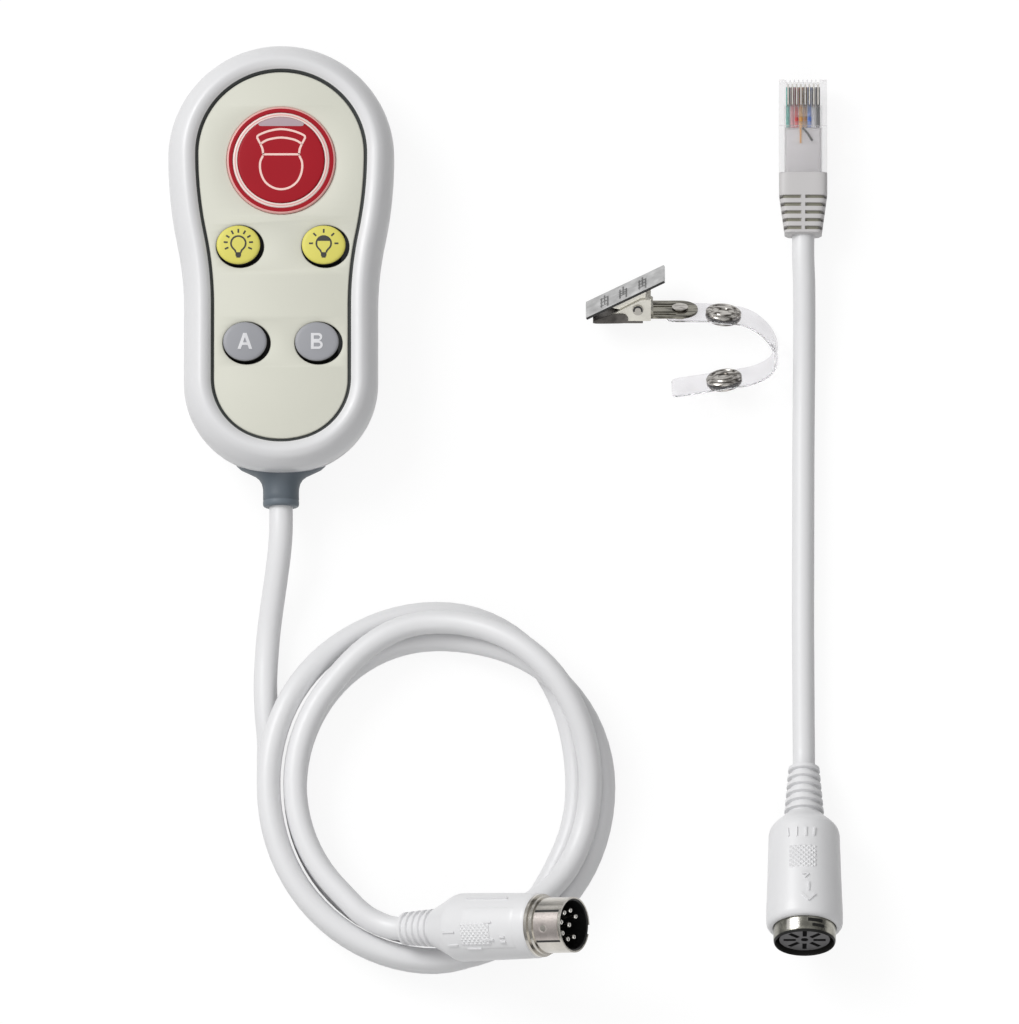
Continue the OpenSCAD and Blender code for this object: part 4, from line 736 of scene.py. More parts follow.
class NC_OT_finishes(Maker, bpy.types.Operator):
    bl_idname = "nurse_call.finishes"
    bl_label = "Finishes"

    def build(self, scene):
        h, k, c = scene.nc_housing, scene.nc_keys, scene.nc_lead
        moulded("shell_gloss", h.shell_colour, 0.32, 9000, 0.000002, 0.99)
        moulded("keypad_film", h.keypad_colour, 0.5, 9000, 0.000003, 0.985)
        # Dark rubber of the seal between the shells, and painted shade in the groove round the keypad.
        moulded("seal_rubber_and_groove_shade", (0.045, 0.05, 0.05), 0.6)
        moulded("call_red", k.call_colour, 0.5, 8000, 0.00001, 0.94, Specular_IOR_Level=0.25)
        moulded("rim_pink", (0.78, 0.42, 0.39), 0.4)
        moulded("ring_pale", (0.90, 0.78, 0.73), 0.4)
        moulded("lens_pink", (0.50, 0.38, 0.42), 0.3, 7000, 0.00001, 0.9)
        moulded("mark_pink", (0.96, 0.66, 0.60), 0.5)
        moulded("lamp_yellow", k.lamp_colour, 0.45, 8000, 0.00001, 0.95)
        # Painted shade on the keys' sides and on the walls of the keypad's key holes.
        moulded("key_shade", (0.03, 0.03, 0.028), 0.6)
        moulded("mark_dark", (0.05, 0.05, 0.045), 0.5)
        moulded("service_grey", k.service_colour, 0.45, 8000, 0.00001, 0.95)
        moulded("mark_white", (0.76, 0.76, 0.78), 0.4)
        moulded("sleeve_rubber", c.sleeve_colour, 0.5, 5000, 0.00004, 0.9)
        moulded("sleeve_end", (0.15, 0.18, 0.21), 0.5, 5000, 0.00004, 0.9)
        moulded("lead_vinyl", c.lead_colour, 0.36, 2500, 0.00004, 0.985)
        moulded("grip_white", scene.nc_plug.grip_colour, 0.34, 5000, 0.00002, 0.98)
        moulded("grip_grey", (0.60, 0.585, 0.585), 0.45, 5000, 0.00001, 0.98)
        # Black of the plug's insert; also painted shade: the liner on the shell's inside, the shell's slots
        # and the arc at the clip's pivot.
        moulded("insert_black", (0.006, 0.006, 0.006), 0.4)
        moulded("insert_grey", (0.085, 0.082, 0.085), 0.5)
        moulded("rib_shade", (0.30, 0.29, 0.23), 0.5)
        moulded("board_green", (0.02, 0.12, 0.05), 0.35)
        moulded("switch_dark", (0.02, 0.02, 0.022), 0.45)
        moulded("header_ivory", (0.66, 0.63, 0.52), 0.4)
        moulded("lamp_white", (0.75, 0.73, 0.62), 0.3)
        plated("nickel", (0.60, 0.575, 0.53), 0.2, 0.82)
        plated("bright_nickel", (0.74, 0.72, 0.68), 0.16, 0.9)
        plated("gold_flash", (0.70, 0.52, 0.22), 0.22, 0.85)
        plated("screw_steel", (0.52, 0.52, 0.53), 0.28, 0.8)
        plated("clip_steel", scene.nc_clip.steel_colour, 0.34, 0.8)
        plated("cheek_steel", (0.78, 0.76, 0.69), 0.42, 0.92)
        streaked("tail_steel", (0.26, 0.25, 0.21), (0.09, 0.085, 0.07))
        # Dark steel of the jaw's floor and near patch: painted shade under the lever.
        plated("jaw_shade", (0.16, 0.15, 0.14), 0.36, 0.4)
        plated("lever_steel", (0.68, 0.68, 0.68), 0.5, 0.62)
        # Painted shade on the lever's side edges, and on its pressed bars.
        moulded("edge_shade", (0.02, 0.02, 0.02), 0.4)
        plated("pressed_bar_shade", (0.26, 0.26, 0.26), 0.5, 0.6)
        plated("cup_nickel", (0.42, 0.41, 0.36), 0.25, 0.4)
        # Painted shade on the socket cup's lip, inside and dents.
        moulded("cup_shade", (0.012, 0.012, 0.011), 0.5, Specular_IOR_Level=0.25)
        # Matte black painted shade in the socket insert's slots, its middle hole and the gap round its face.
        moulded("slot_shade", (0.004, 0.004, 0.004), 0.9, Specular_IOR_Level=0.05)
        streaked("snap_nickel", (0.52, 0.50, 0.47), (0.10, 0.09, 0.08))
        plated("tongue_nickel", (0.66, 0.60, 0.57), 0.3, 0.85)
        plated("contact_pale", (0.80, 0.77, 0.72), 0.3, 0.9)
        plated("spring_dark", (0.22, 0.19, 0.17), 0.36, 0.6)
        clear("clear_shell", (0.88, 0.87, 0.88), 0.10, 0.8, 1.3, 0.9, 0.45)
        moulded("frosted", (0.80, 0.78, 0.79), 0.5)
        clear("guide_clear", (0.9, 0.92, 0.93), 0.05, 0.9)
        clear("strap_vinyl", (0.94, 0.93, 0.95), 0.12, 0.9, 1.09)
        for name, tint in (("wire_orange", (0.88, 0.45, 0.12)), ("wire_teal", (0.10, 0.50, 0.42)),
                           ("wire_rose", (0.86, 0.34, 0.38)), ("wire_red", (0.80, 0.10, 0.10)),
                           ("wire_brown", (0.45, 0.26, 0.15)),
                           ("wire_blue", (0.14, 0.26, 0.72)), ("wire_black", (0.01, 0.01, 0.012)),
                           ("wire_grey", (0.75, 0.75, 0.78))):
            moulded(name, tint, 0.4)


NODE_FINISHES = {
    "shell_gloss": "front_shell rear_shell",
    "keypad_film": "keypad_panel",
    "seal_rubber_and_groove_shade": "shell_seal",
    "screw_steel": "case_screws board_screws clamp_screws cable_clamp",
    "call_red": "call_button call_bezel",
    "ring_pale": "call_ring",
    "lens_pink": "call_lens",
    "lamp_yellow": "light_on_key light_dim_key",
    "service_grey": "service_a_key service_b_key",
    "board_green": "circuit_board",
    "header_ivory": "cable_header",
    "lamp_white": "call_lamp",
    "switch_dark": "call_switch key_switches controller_chip call_plunger light_on_plunger "
                   "light_dim_plunger service_a_plunger service_b_plunger",
    "guide_clear": "light_guide",
    "sleeve_rubber": "cable_boot",
    "lead_vinyl": "inner_cable cord_lead cord_coil cord_tail adapter_cord",
    "wire_brown": "inner_wires",
    "wire_blue": "flat_plug_wires",
    "grip_white": "plug_grip socket_grip flat_plug_boot",
    "nickel": "plug_shell socket_sleeve",
    "bright_nickel": "plug_pins snap_socket snap_stud",
    "insert_black": "plug_insert",
    "insert_grey": "socket_insert",
    "gold_flash": "socket_contacts",
    "contact_pale": "flat_plug_contacts",
    "clear_shell": "flat_plug_body flat_plug_latch",
    "strap_vinyl": "strap",
    "clip_steel": "clip_jaw clip_lever clip_pivot",
    "snap_nickel": "strap_rivet",
    "spring_dark": "clip_spring"}


class NC_OT_node_finishes(Maker, bpy.types.Operator):
    """Gives every packed node its finish"""
    bl_idname = "nurse_call.node_finishes"
    bl_label = "Node Finishes"

    def build(self, scene):
        wanted = {node: finish for finish, nodes in NODE_FINISHES.items() for node in nodes.split()}
        for node, finish in wanted.items():
            paint_node(node, FINISHES[finish])
        left = set(NODES) - set(wanted)
        if left:
            raise RuntimeError(f"no finish for {sorted(left)}")


class NC_OT_housing(Maker, bpy.types.Operator):
    """Makes the two shells of the handset and the keypad sheet"""
    bl_idname = "nurse_call.housing"
    bl_label = "Handset Shells"

    def build(self, scene):
        h, k = scene.nc_housing, scene.nc_keys
        self.rear(h)
        self.front(h)
        self.keypad(h, k)

    def rear(self, h):
        """Smooth section from the parting line down to the flat back, with screw recesses and a hollow."""
        part = mm(h.parting)
        flat, floor, wall, thick = -6, -7.2, -2.3, 2
        outer = smooth_line([(0, part), (-0.2, 10), (-0.8, 6.8), (-1.6, 4.0), (-2.7, 1.8), (-4.2, 0.5),
                             (flat, 0)], 5)
        inner = [(floor, thick), (-5, 3), (-3.5, 5.2), (-2.6, 8), (wall, part)]
        piece = Solid()
        piece.grid(body_rows(h, [(wall, part), *outer]))
        piece.grid(body_rows(h, inner))
        holes = [circle(p, SCREW_HOLE, 40) for p in case_posts(h)]
        piece.plate(body_outline(h, flat), holes, 0)
        piece.plate(body_outline(h, floor), [], thick)
        well = turned([(SCREW_HOLE, 0), (SCREW_HOLE, SCREW_WELL), (0, SCREW_WELL)], 40)
        for x, y in case_posts(h):
            piece.grid(well + [x, y, 0])
        piece.make("shell_rear", ["shell_gloss"], stands_for=("rear_shell",), crease=40)

    def front(self, h):
        """Rim of the front shell: its section runs up from the parting line, over the round rim and down to
        the ledge below the keypad, and back along the inside; the lower inner slope and the ledge are painted
        shade."""
        part, top, deck, w = mm(h.parting) + 0.3, mm(h.rim_height), mm(h.deck_height), mm(h.rim_width)
        rise = top - deck
        over = smooth_line([(0, 15), (-w * 0.05, top - rise * 1.65), (-w * 0.17, top - rise * 0.95),
                            (-w * 0.33, top - rise * 0.38), (-w * 0.52, top - rise * 0.05), (-w * 0.66, top),
                            (-w * 0.82, top - rise * 0.16), (-w * 0.95, top - rise * 0.46),
                            (-w, top - rise * 0.62)], 5)
        section = [(-0.3, part), (-0.09, part + 0.09), (0, part + 0.3), *over, (-w, deck - 0.05),
                   (-w - 2.6, deck - 0.05), (-w - 2.6, deck - 2), (-5.2, deck - 2), (-3.4, 16), (-2.4, 14.4),
                   (-2.3, part)]
        # The lower inner slope of the rim and the ledge by the keypad take the second finish: painted shade.
        dark = [z > deck - 1 and g < 0.5 - w for g, z in section]
        piece = Solid()
        piece.grid(body_rows(h, section), wrap_rows=True, finish=np.array(dark, int)[:, None])
        piece.make("shell_front", ["shell_gloss", "seal_rubber_and_groove_shade"],
                   stands_for=("front_shell",), crease=40)

    def keypad(self, h, k):
        """Sheet with round and oval holes; its edges and the holes' edges turn down in a small radius. The
        key holes lie a little to the lower right, and their walls and the groove round the sheet are painted
        shade."""
        low, t = mm(h.deck_height), mm(h.keypad_thickness)
        edge = -mm(h.rim_width) - 0.3
        ease = [(0, low), (0, low + t - 0.28), (-0.08, low + t - 0.09), (-0.3, low + t)]
        piece = Solid()
        piece.grid(body_rows(h, [(edge + g, z) for g, z in ease]))
        places = [((0, mm(k.call_height)), CALL_HOLE, 1)]
        places += [((x + HOLE_RIGHT, y - HOLE_DOWN), r + HOLE_ROOM, k.oval) for (x, y), r in key_places(k)]
        for (x, y), r, share in places:
            hole = turned([(r - g, z) for g, z in ease]) * [1, share, 1] + [x, y, 0]
            # Each hole's wall takes key_shade: painted shade in the gap round the key.
            piece.grid(hole, finish=np.array([[1], [0], [0]]))
        loops = [[circle((0, 0), r + g, 96) * [1, share] + c for c, r, share in places] for g in (0.3, 0)]
        piece.plate(body_outline(h, edge - 0.3), loops[0], low + t)
        piece.plate(body_outline(h, edge), loops[1], low)
        piece.make("keypad_sheet", ["keypad_film", "key_shade"],
                   stands_for=("keypad_panel",), crease=50)
        # Dark strip in the groove round the keypad: painted shade.
        groove = Solid()
        w = -mm(h.rim_width)
        outside, inside, high = w + 0.02, w - 0.28, low + 0.75
        section = [(outside, low), (outside, high), (inside, high), (inside, low)]
        groove.grid(body_rows(h, section), wrap_rows=True)
        groove.make("keypad_groove_shade", ["seal_rubber_and_groove_shade"])


def strokes(piece, lines, width, z, height):
    """Raised strokes of a mark, each line given about the mark's centre."""
    for line, closed in lines:
        piece.ribbon(line, width, z, height, closed=closed)


def bulb_lines(ray_count, first, last):
    """Light bulb: a round globe that narrows to its foot, a dark screw base and rays at even angles."""
    globe = np.vstack([[(-0.62, -1.95), (-0.75, -1.5)], arc(0, 0.25, 1.75, -142, -398, 26),
                       [(0.75, -1.5), (0.62, -1.95)]])
    base = [([(-w, y), (w, y)], False) for y, w in ((-2.1, 0.66), (-2.4, 0.66), (-2.7, 0.62), (-3.0, 0.45))]
    lines = [(globe, False), *base]
    for a in np.radians(np.linspace(first, last, ray_count)):
        d = np.array([math.cos(a), math.sin(a)])
        lines.append(([d * 2.55 + (0, 0.25), d * 3.5 + (0, 0.25)], False))
    return lines


class NC_OT_call_button(Maker, bpy.types.Operator):
    """Makes the call button's red disc with its window and mark, and the rings round it"""
    bl_idname = "nurse_call.call_button"
    bl_label = "Call Button"

    def build(self, scene):
        k = scene.nc_keys
        deck = mm(scene.nc_housing.deck_height)
        x, y, r, face = 0, mm(k.call_height), mm(k.call_radius) + 0.05, deck + 2
        piece = Solid(origin=(x, y, 0))
        edge = [(r * 0.5, face), (r - 0.5, face), (r - 0.2, face - 0.04), (r - 0.05, face - 0.14),
                (r, face - 0.3), (r, face - 3.2), (r - 2, face - 3.2), (r - 2, 16.9), (r + 1.1, 16.9),
                (r + 1.1, HIDDEN_RIM), (2, HIDDEN_RIM), (2, CALL_FOOT), (0, CALL_FOOT)]
        piece.grid(turned([(0, face), *edge], 128))
        piece.make("call_disc", ["call_red"], "call_button_body", ("call_button",), 40)
        self.window(x, y, r, face)
        self.mark(x, y, face)
        for name, low, high, top, colours, node, slot in (
                ("call_ring_pale", r + 0.04, 11.55, deck + 1.7, ("call_red", "ring_pale", "rim_pink"),
                 "call_ring", "ring_pale"),
                ("call_ring_red", 11.57, 12.95, deck + 1.75, ("call_red", "call_red", "rim_pink"),
                 "call_bezel", "call_red")):
            ring = Solid(origin=(x, y, 0))
            last = 1 if node == "call_ring" else 2
            rows = [(low, deck, 0), (low, top - 0.15, 1), (low + 0.12, top, 1), (low + 0.4, top, 3 - last),
                    (high - 0.45, top, last), (high - 0.12, top - 0.1, last), (high, top - 0.3, last),
                    (high, deck, 0)]
            ring.grid(turned([row[:2] for row in rows], 128), wrap_rows=True,
                      finish=np.array([row[2] for row in rows])[:, None])
            ring.make(name, colours, ROOT, (node,), 50)

    def window(self, x, y, r, face):
        """Pale lamp window: the disc's segment above a level edge, with eased lower corners."""
        low, inner = 8.2, r - 0.02
        bend = math.degrees(math.acos((low + 0.6) / inner))
        top = arc(0, 0, inner, 90 - bend, 90 + bend, 30)
        left = arc(top[-1][0] + 0.55, low + 0.55, 0.55, 190, 270, 6)
        outline = np.vstack([top, left, left[::-1] * [-1, 1]])
        piece = Solid(origin=(x, y, 0))
        piece.prism(outline, face - 0.3, face + 0.04)
        piece.make("call_window", ["lens_pink"], "call_button_body", ("call_lens",))

    def mark(self, x, y, face):
        """Nurse's head in outline: a cap of two arcs with leaning sides, a band and a rounded chin."""
        peak = smooth_line([(-5.7, 5.35), (-5.35, 6.0), (-2.9, 7.0), (0, 7.45), (2.9, 7.0), (5.35, 6.0),
                            (5.7, 5.35)], 5)
        brow = smooth_line([(-4.95, 3.9), (-3.1, 4.9), (0, 5.4), (3.1, 4.9), (4.95, 3.9)], 5)
        chin = smooth_line([(-4.35, 1.0), (-5.0, -0.7), (-4.85, -3.0), (-3.85, -5.2), (-2.1, -6.6), (0, -7.1),
                            (2.1, -6.6), (3.85, -5.2), (4.85, -3.0), (5.0, -0.7), (4.35, 1.0)], 5)
        lines = [(np.vstack([peak, brow[::-1]]), True), ([(-4.45, 1.35), (4.45, 1.35)], False), (chin, False)]
        for side in (-1, 1):
            temple = smooth_line([(side * 4.95, 3.9), (side * 4.45, 2.7), (side * 4.25, 1.35)], 5)
            lines.append((temple, False))
        piece = Solid(origin=(x, y, 0))
        strokes(piece, lines, 0.5, face - 0.05, 0.09)
        piece.make("call_mark", ["mark_pink"], "call_button_body")


def letter_a():
    """Left half of a plain capital A, a hair off its middle line."""
    return np.array([(-1.75, -1.93), (-0.42, 1.93), (-0.003, 1.93), (-0.003, 0.95), (-0.45, -0.36),
                     (-0.003, -0.36), (-0.003, -0.98), (-0.66, -0.98), (-0.98, -1.93)])


def letter_b():
    """Outline and two holes of a plain capital B."""
    outline = np.vstack([[(-1.4, -1.93), (-1.4, 1.93)], arc(0.35, 0.99, 0.94, 90, -78, 12),
                         arc(0.42, -0.93, 1.0, 78, -90, 12)])
    holes = [np.vstack([[(-0.72, y - h), (-0.72, y + h)], arc(x, y, h, 90, -90, 8)])
             for x, y, h in ((0.32, 0.9, 0.42), (0.38, -0.9, 0.46))]
    return outline, holes


class NC_OT_keys(Maker, bpy.types.Operator):
    """Makes the two yellow lamp keys and the two grey service keys with their marks"""
    bl_idname = "nurse_call.keys"
    bl_label = "Keys"

    def build(self, scene):
        k = scene.nc_keys
        deck = mm(scene.nc_housing.deck_height)
        face, rim, stem = deck + 2.5, 0.8, 2
        names = ("light_on", "light_dim", "service_a", "service_b")
        shade = [([(-w, y), (w, y)], False) for y, w in ((1.02, 1.5), (1.32, 1.32), (1.62, 0.95))]
        marks = (bulb_lines(9, -23, 203), bulb_lines(5, 0, 180) + shade)
        for i, (((x, y), r), name) in enumerate(zip(key_places(k), names)):
            profile = [(q, self.dome(q, r, face)) for q in np.linspace(0, r - 0.5, 9)]
            profile += [(r - 0.22, face - 0.4), (r - 0.06, face - 0.56), (r, face - 0.8)]
            lit = len(profile)
            profile += [(r, rim + HIDDEN_RIM), (r + rim, rim + HIDDEN_RIM), (r + rim, HIDDEN_RIM),
                        (stem, HIDDEN_RIM), (stem, KEY_FOOT), (0, KEY_FOOT)]
            shape = turned(profile)
            oval = np.where(np.hypot(shape[..., 0], shape[..., 1]) > stem + 0.1, k.oval, 1.0)
            # The key's side and hidden rim, below the lit face, take key_shade: painted shade.
            cap = (np.arange(len(profile) - 1) >= lit - 1).astype(int)[:, None]
            piece = Solid(origin=(x, y, 0))
            piece.grid(np.stack([shape[..., 0], shape[..., 1] * oval, shape[..., 2]], -1), finish=cap)
            colour_name, slot = ("lamp_yellow", "key_yellow") if i < 2 else ("service_grey", "key_grey")
            piece.make(name + "_cap", [colour_name, "key_shade"], name + "_body",
                       (name + "_key",), 45)
            mark = Solid(origin=(x, y, 0))
            if i < 2:
                strokes(mark, marks[i], 0.4, 0, 0.07)
            elif i == 2:
                mark.prism(letter_a(), 0, LETTER_RISE)
                mark.prism(letter_a()[::-1] * [-1, 1], 0, LETTER_RISE)
            else:
                outline, holes = letter_b()
                mark.prism(outline, 0, LETTER_RISE, holes)
            mark.points = [np.column_stack([p[:, :2], p[:, 2] - 0.02 + self.dome(
                np.hypot(p[:, 0] - x, (p[:, 1] - y) / k.oval), r, face)]) for p in mark.points]
            mark.make(name + "_mark", ["mark_dark" if i < 2 else "mark_white"],
                      name + "_body")

    def dome(self, q, r, face):
        """Height of a key's face at distance q: it falls with the square of the share of the half width."""
        return face - KEY_DOME * (q / r) ** 2


class NC_OT_cable_sleeve(Maker, bpy.types.Operator):
    """Makes the grey sleeve where the lead leaves the handset"""
    bl_idname = "nurse_call.cable_sleeve"
    bl_label = "Cable Sleeve"

    def build(self, scene):
        """Rings of oval section along the lead: half width and half height grow towards the handset."""
        c = scene.nc_lead
        z, d = mm(c.outlet_height), mm(c.diameter)
        table = np.array([(-58.9, 3.9, 3.9), (-58.75, 4.15, 4.15), (-58.4, 4.3, 4.3), (-57.6, 4.3, 4.3),
                          (-57.5, 4.22, 4.22), (-57.3, 4.22, 4.22), (-57.2, 4.3, 4.3), (-56, 4.28, 4.28),
                          (-54.6, 4.3, 4.3), (-53.3, 4.6, 4.5), (-52.3, 5.2, 4.9), (-51.5, 6.2, 5.3),
                          (-50.7, 7.9, 5.9), (-49.9, 9.6, 6.6), (-49.0, 10.6, 7.2), (-48.2, 10.6, 7.3)])
        a = np.linspace(0, 2 * np.pi, 72, endpoint=False)
        bore = [(y, d / 2, d / 2) for y in (-48.2, -58.9)]
        rings = [np.stack([w * np.cos(a), np.full(72, y), z + t * np.sin(a)], -1)
                 for y, w, t in [*table, *bore]]
        piece = Solid()
        piece.grid(np.stack(rings), wrap_rows=True)
        made = piece.make("cable_sleeve", ["sleeve_rubber", "sleeve_end"],
                          stands_for=("cable_boot",), crease=40)
        places = np.array([f.center.y for f in made.data.polygons])
        made.data.polygons.foreach_set("material_index", (places < -0.0575).astype(np.int32))


def grip_mark(piece, radius_at, s_from, s_to, half, facing, pitch=1.2, lift=0.36):
    """Diamond knurl on a turned body: a patch bent to the body's radius, raised by small pyramids."""
    s = np.linspace(s_from, s_to, 72)[:, None]
    w = np.linspace(-half, half, 72)[None, :]
    r = radius_at(s) + 0 * w
    angle = np.radians(facing) + w / r
    fade = np.minimum(1, np.minimum((half - np.abs(w)) / 0.25, np.minimum(s - s_from, s_to - s) / 0.25))
    up = r - 0.05 + lift * diamonds(s + 0 * w, w + 0 * s, pitch) * np.clip(fade, 0, 1)
    piece.slab(on_round(up, angle, s), on_round(r - 0.5, angle, s))


def on_round(q, angle, s):
    """Points at radius q and an angle about the axis, at height s along it."""
    q, angle, s = np.broadcast_arrays(q, angle, s)
    return np.stack([q * np.cos(angle), q * np.sin(angle), s], -1)


def raised_bar(piece, r, facing, s_span, w_span, lift=0.24):
    """Small raised bar on a turned body, straight in height and in width from one place to another."""
    t = np.linspace(0, 1, 8)
    side = 0.17
    along = np.interp(t, (0, 1), s_span)[:, None]
    across = np.interp(t, (0, 1), w_span)[:, None]
    step = np.array([s_span[1] - s_span[0], w_span[1] - w_span[0]], float)
    step /= np.linalg.norm(step)
    edge = np.array([-side, side])[None, :]
    s = along - step[1] * edge
    angle = np.radians(facing) + (across + step[0] * edge) / r
    piece.slab(on_round(r + lift, angle, s), on_round(r - 0.4, angle, s))


PLUG_BARS = ((0.8, 4.2, 2.65), (11.9, 15.0, 4.75), (16.7, 18.2, 4.1), (16.7, 18.2, 5.4), (6.9, 10.9, 7.1),
             (5.8, 17.2, -6.35), (12.6, 14.7, 0.5), (1.8, 4.6, 6.0))
SOCKET_BARS = (((2.2, 4.4), (3.6, 3.4)), ((2.2, 4.6), (1.4, 1.4)), ((2.2, 4.6), (-0.8, -0.8)),
               ((2.2, 4.4), (-2.9, -2.7)), ((14.6, 15.6), (-1.4, -0.4)), ((14.6, 14.6), (-1.4, 0.2)),
               ((16.6, 19.0), (-1.4, -1.4)), ((19.8, 21.6), (-3.0, -1.4)), ((21.6, 19.8), (-1.4, 0.2)))


class NC_OT_round_plug(Maker, bpy.types.Operator):
    """Makes the round plug's ribbed relief and grip, its shell's slots and tongue, and its black liner"""
    bl_idname = "nurse_call.round_plug"
    bl_label = "Round Plug"

    def build(self, scene):
        p, d = scene.nc_plug, mm(scene.nc_lead.diameter)
        relief, cone, grip, r = mm(p.relief), mm(p.cone), mm(p.grip), mm(p.grip_radius)
        low = relief + cone
        high = low + grip
        profile = [(0, 0), (d / 2 + 0.5, 0)]
        profile += [*ribbed(0, relief, d / 2 + 1.1, d / 2 + 1.8, p.ribs, 0.6)]
        profile += [*smooth_line([(d / 2 + 1.8, relief), (r * 0.62, relief + 0.9), (r * 0.83, low - 1.6),
                                  (r * 0.95, low + 0.2), (r, low + 1.6)], 4)]
        profile += [(r * 0.98, low + grip * 0.5), (r * 0.955, high - 1), (r * 0.945, high - 0.3),
                    (r * 0.925, high), (7.05, high), (7.05, high - 5), (0, high - 5)]
        piece = Solid(plug_matrix(p), PLUG_AT)
        piece.grid(turned(profile))
        # thin raised label field on the upper side, its edges eased
        u = np.linspace(0, 1, 30)[:, None]
        reach, facing = 40, 194
        a = np.linspace(-reach, reach, 31)[None, :]
        fall = np.clip(np.minimum((reach - np.abs(a)) / 3, np.minimum(u, 1 - u) * 16), 0, 1) ** 0.5
        s = low + 5.2 + (grip - 8) * u
        body = r * (1 - 0.045 * (s - low) / grip)
        angle = np.radians(facing + a)
        piece.slab(on_round(body - 0.1 + 0.22 * fall, angle, s), on_round(body - 0.6 + 0 * fall, angle, s))
        grip_mark(piece, lambda q: r * 1.012 + 0 * q, low + 5.9, low + 14.0, 2.75, 203.5)
        for near, far, across in PLUG_BARS:
            raised_bar(piece, r * 1.005, 180, (low + near, low + far), (across, across))
        piece.make("round_plug_grip", ["grip_white"], stands_for=("plug_grip",), crease=35)
        self.shell_marks(p, high + PLUG_COLLAR)
        self.liner(p, high + PLUG_COLLAR)

    def shell_marks(self, p, base):
        """Two long dark slots in the metal shell, and between them a sprung tongue with a small dimple."""
        slots = Solid(plug_matrix(p), PLUG_AT)
        tongue = Solid(plug_matrix(p), PLUG_AT)
        s = np.linspace(base + 0.35, base + 7.0, 24)[:, None]
        # The slots are black slabs on the shell: the insert's black and painted shade inside.
        for middle in (-20, 46):
            a = np.radians(180 + middle + np.linspace(-2.4, 2.4, 5))[None, :]
            slots.slab(on_round(PLUG_SHELL + 0.03, a, s), on_round(PLUG_SHELL - 0.15, a, s))
        a = np.linspace(-16, 42, 25)[None, :]
        dimple = np.exp(-((s - base - 3.0) ** 2 + ((a - 17) * 0.115) ** 2) / 0.5)
        top = PLUG_SHELL + 0.09 - 0.5 * np.clip(1.3 * dimple - 0.15, 0, 1)
        angle = np.radians(180 + a)
        tongue.slab(on_round(top, angle, s), on_round(PLUG_SHELL - 0.3 + 0 * dimple, angle, s))
        slots.make("plug_shell_slots", ["insert_black"])
        tongue.make("plug_shell_tongue", ["tongue_nickel"])

    def liner(self, p, base):
        """Black insert with a thin wall that lines the shell as far as its mouth: the insert is black, and
        the lining wall is painted shade and dark reflection of the shell's inside.
        """
        floor = base + 0.8
        profile = [(0, floor), (5.8, floor), (5.8, base + 7.3), (6.0, base + 7.5), (6.16, base + 7.5),
                   (6.16, base - 4.9), (0, base - 4.9)]
        piece = Solid(plug_matrix(p), PLUG_AT)
        piece.grid(turned(profile))
        piece.make("plug_liner", ["insert_black"], stands_for=("plug_insert",), crease=35)


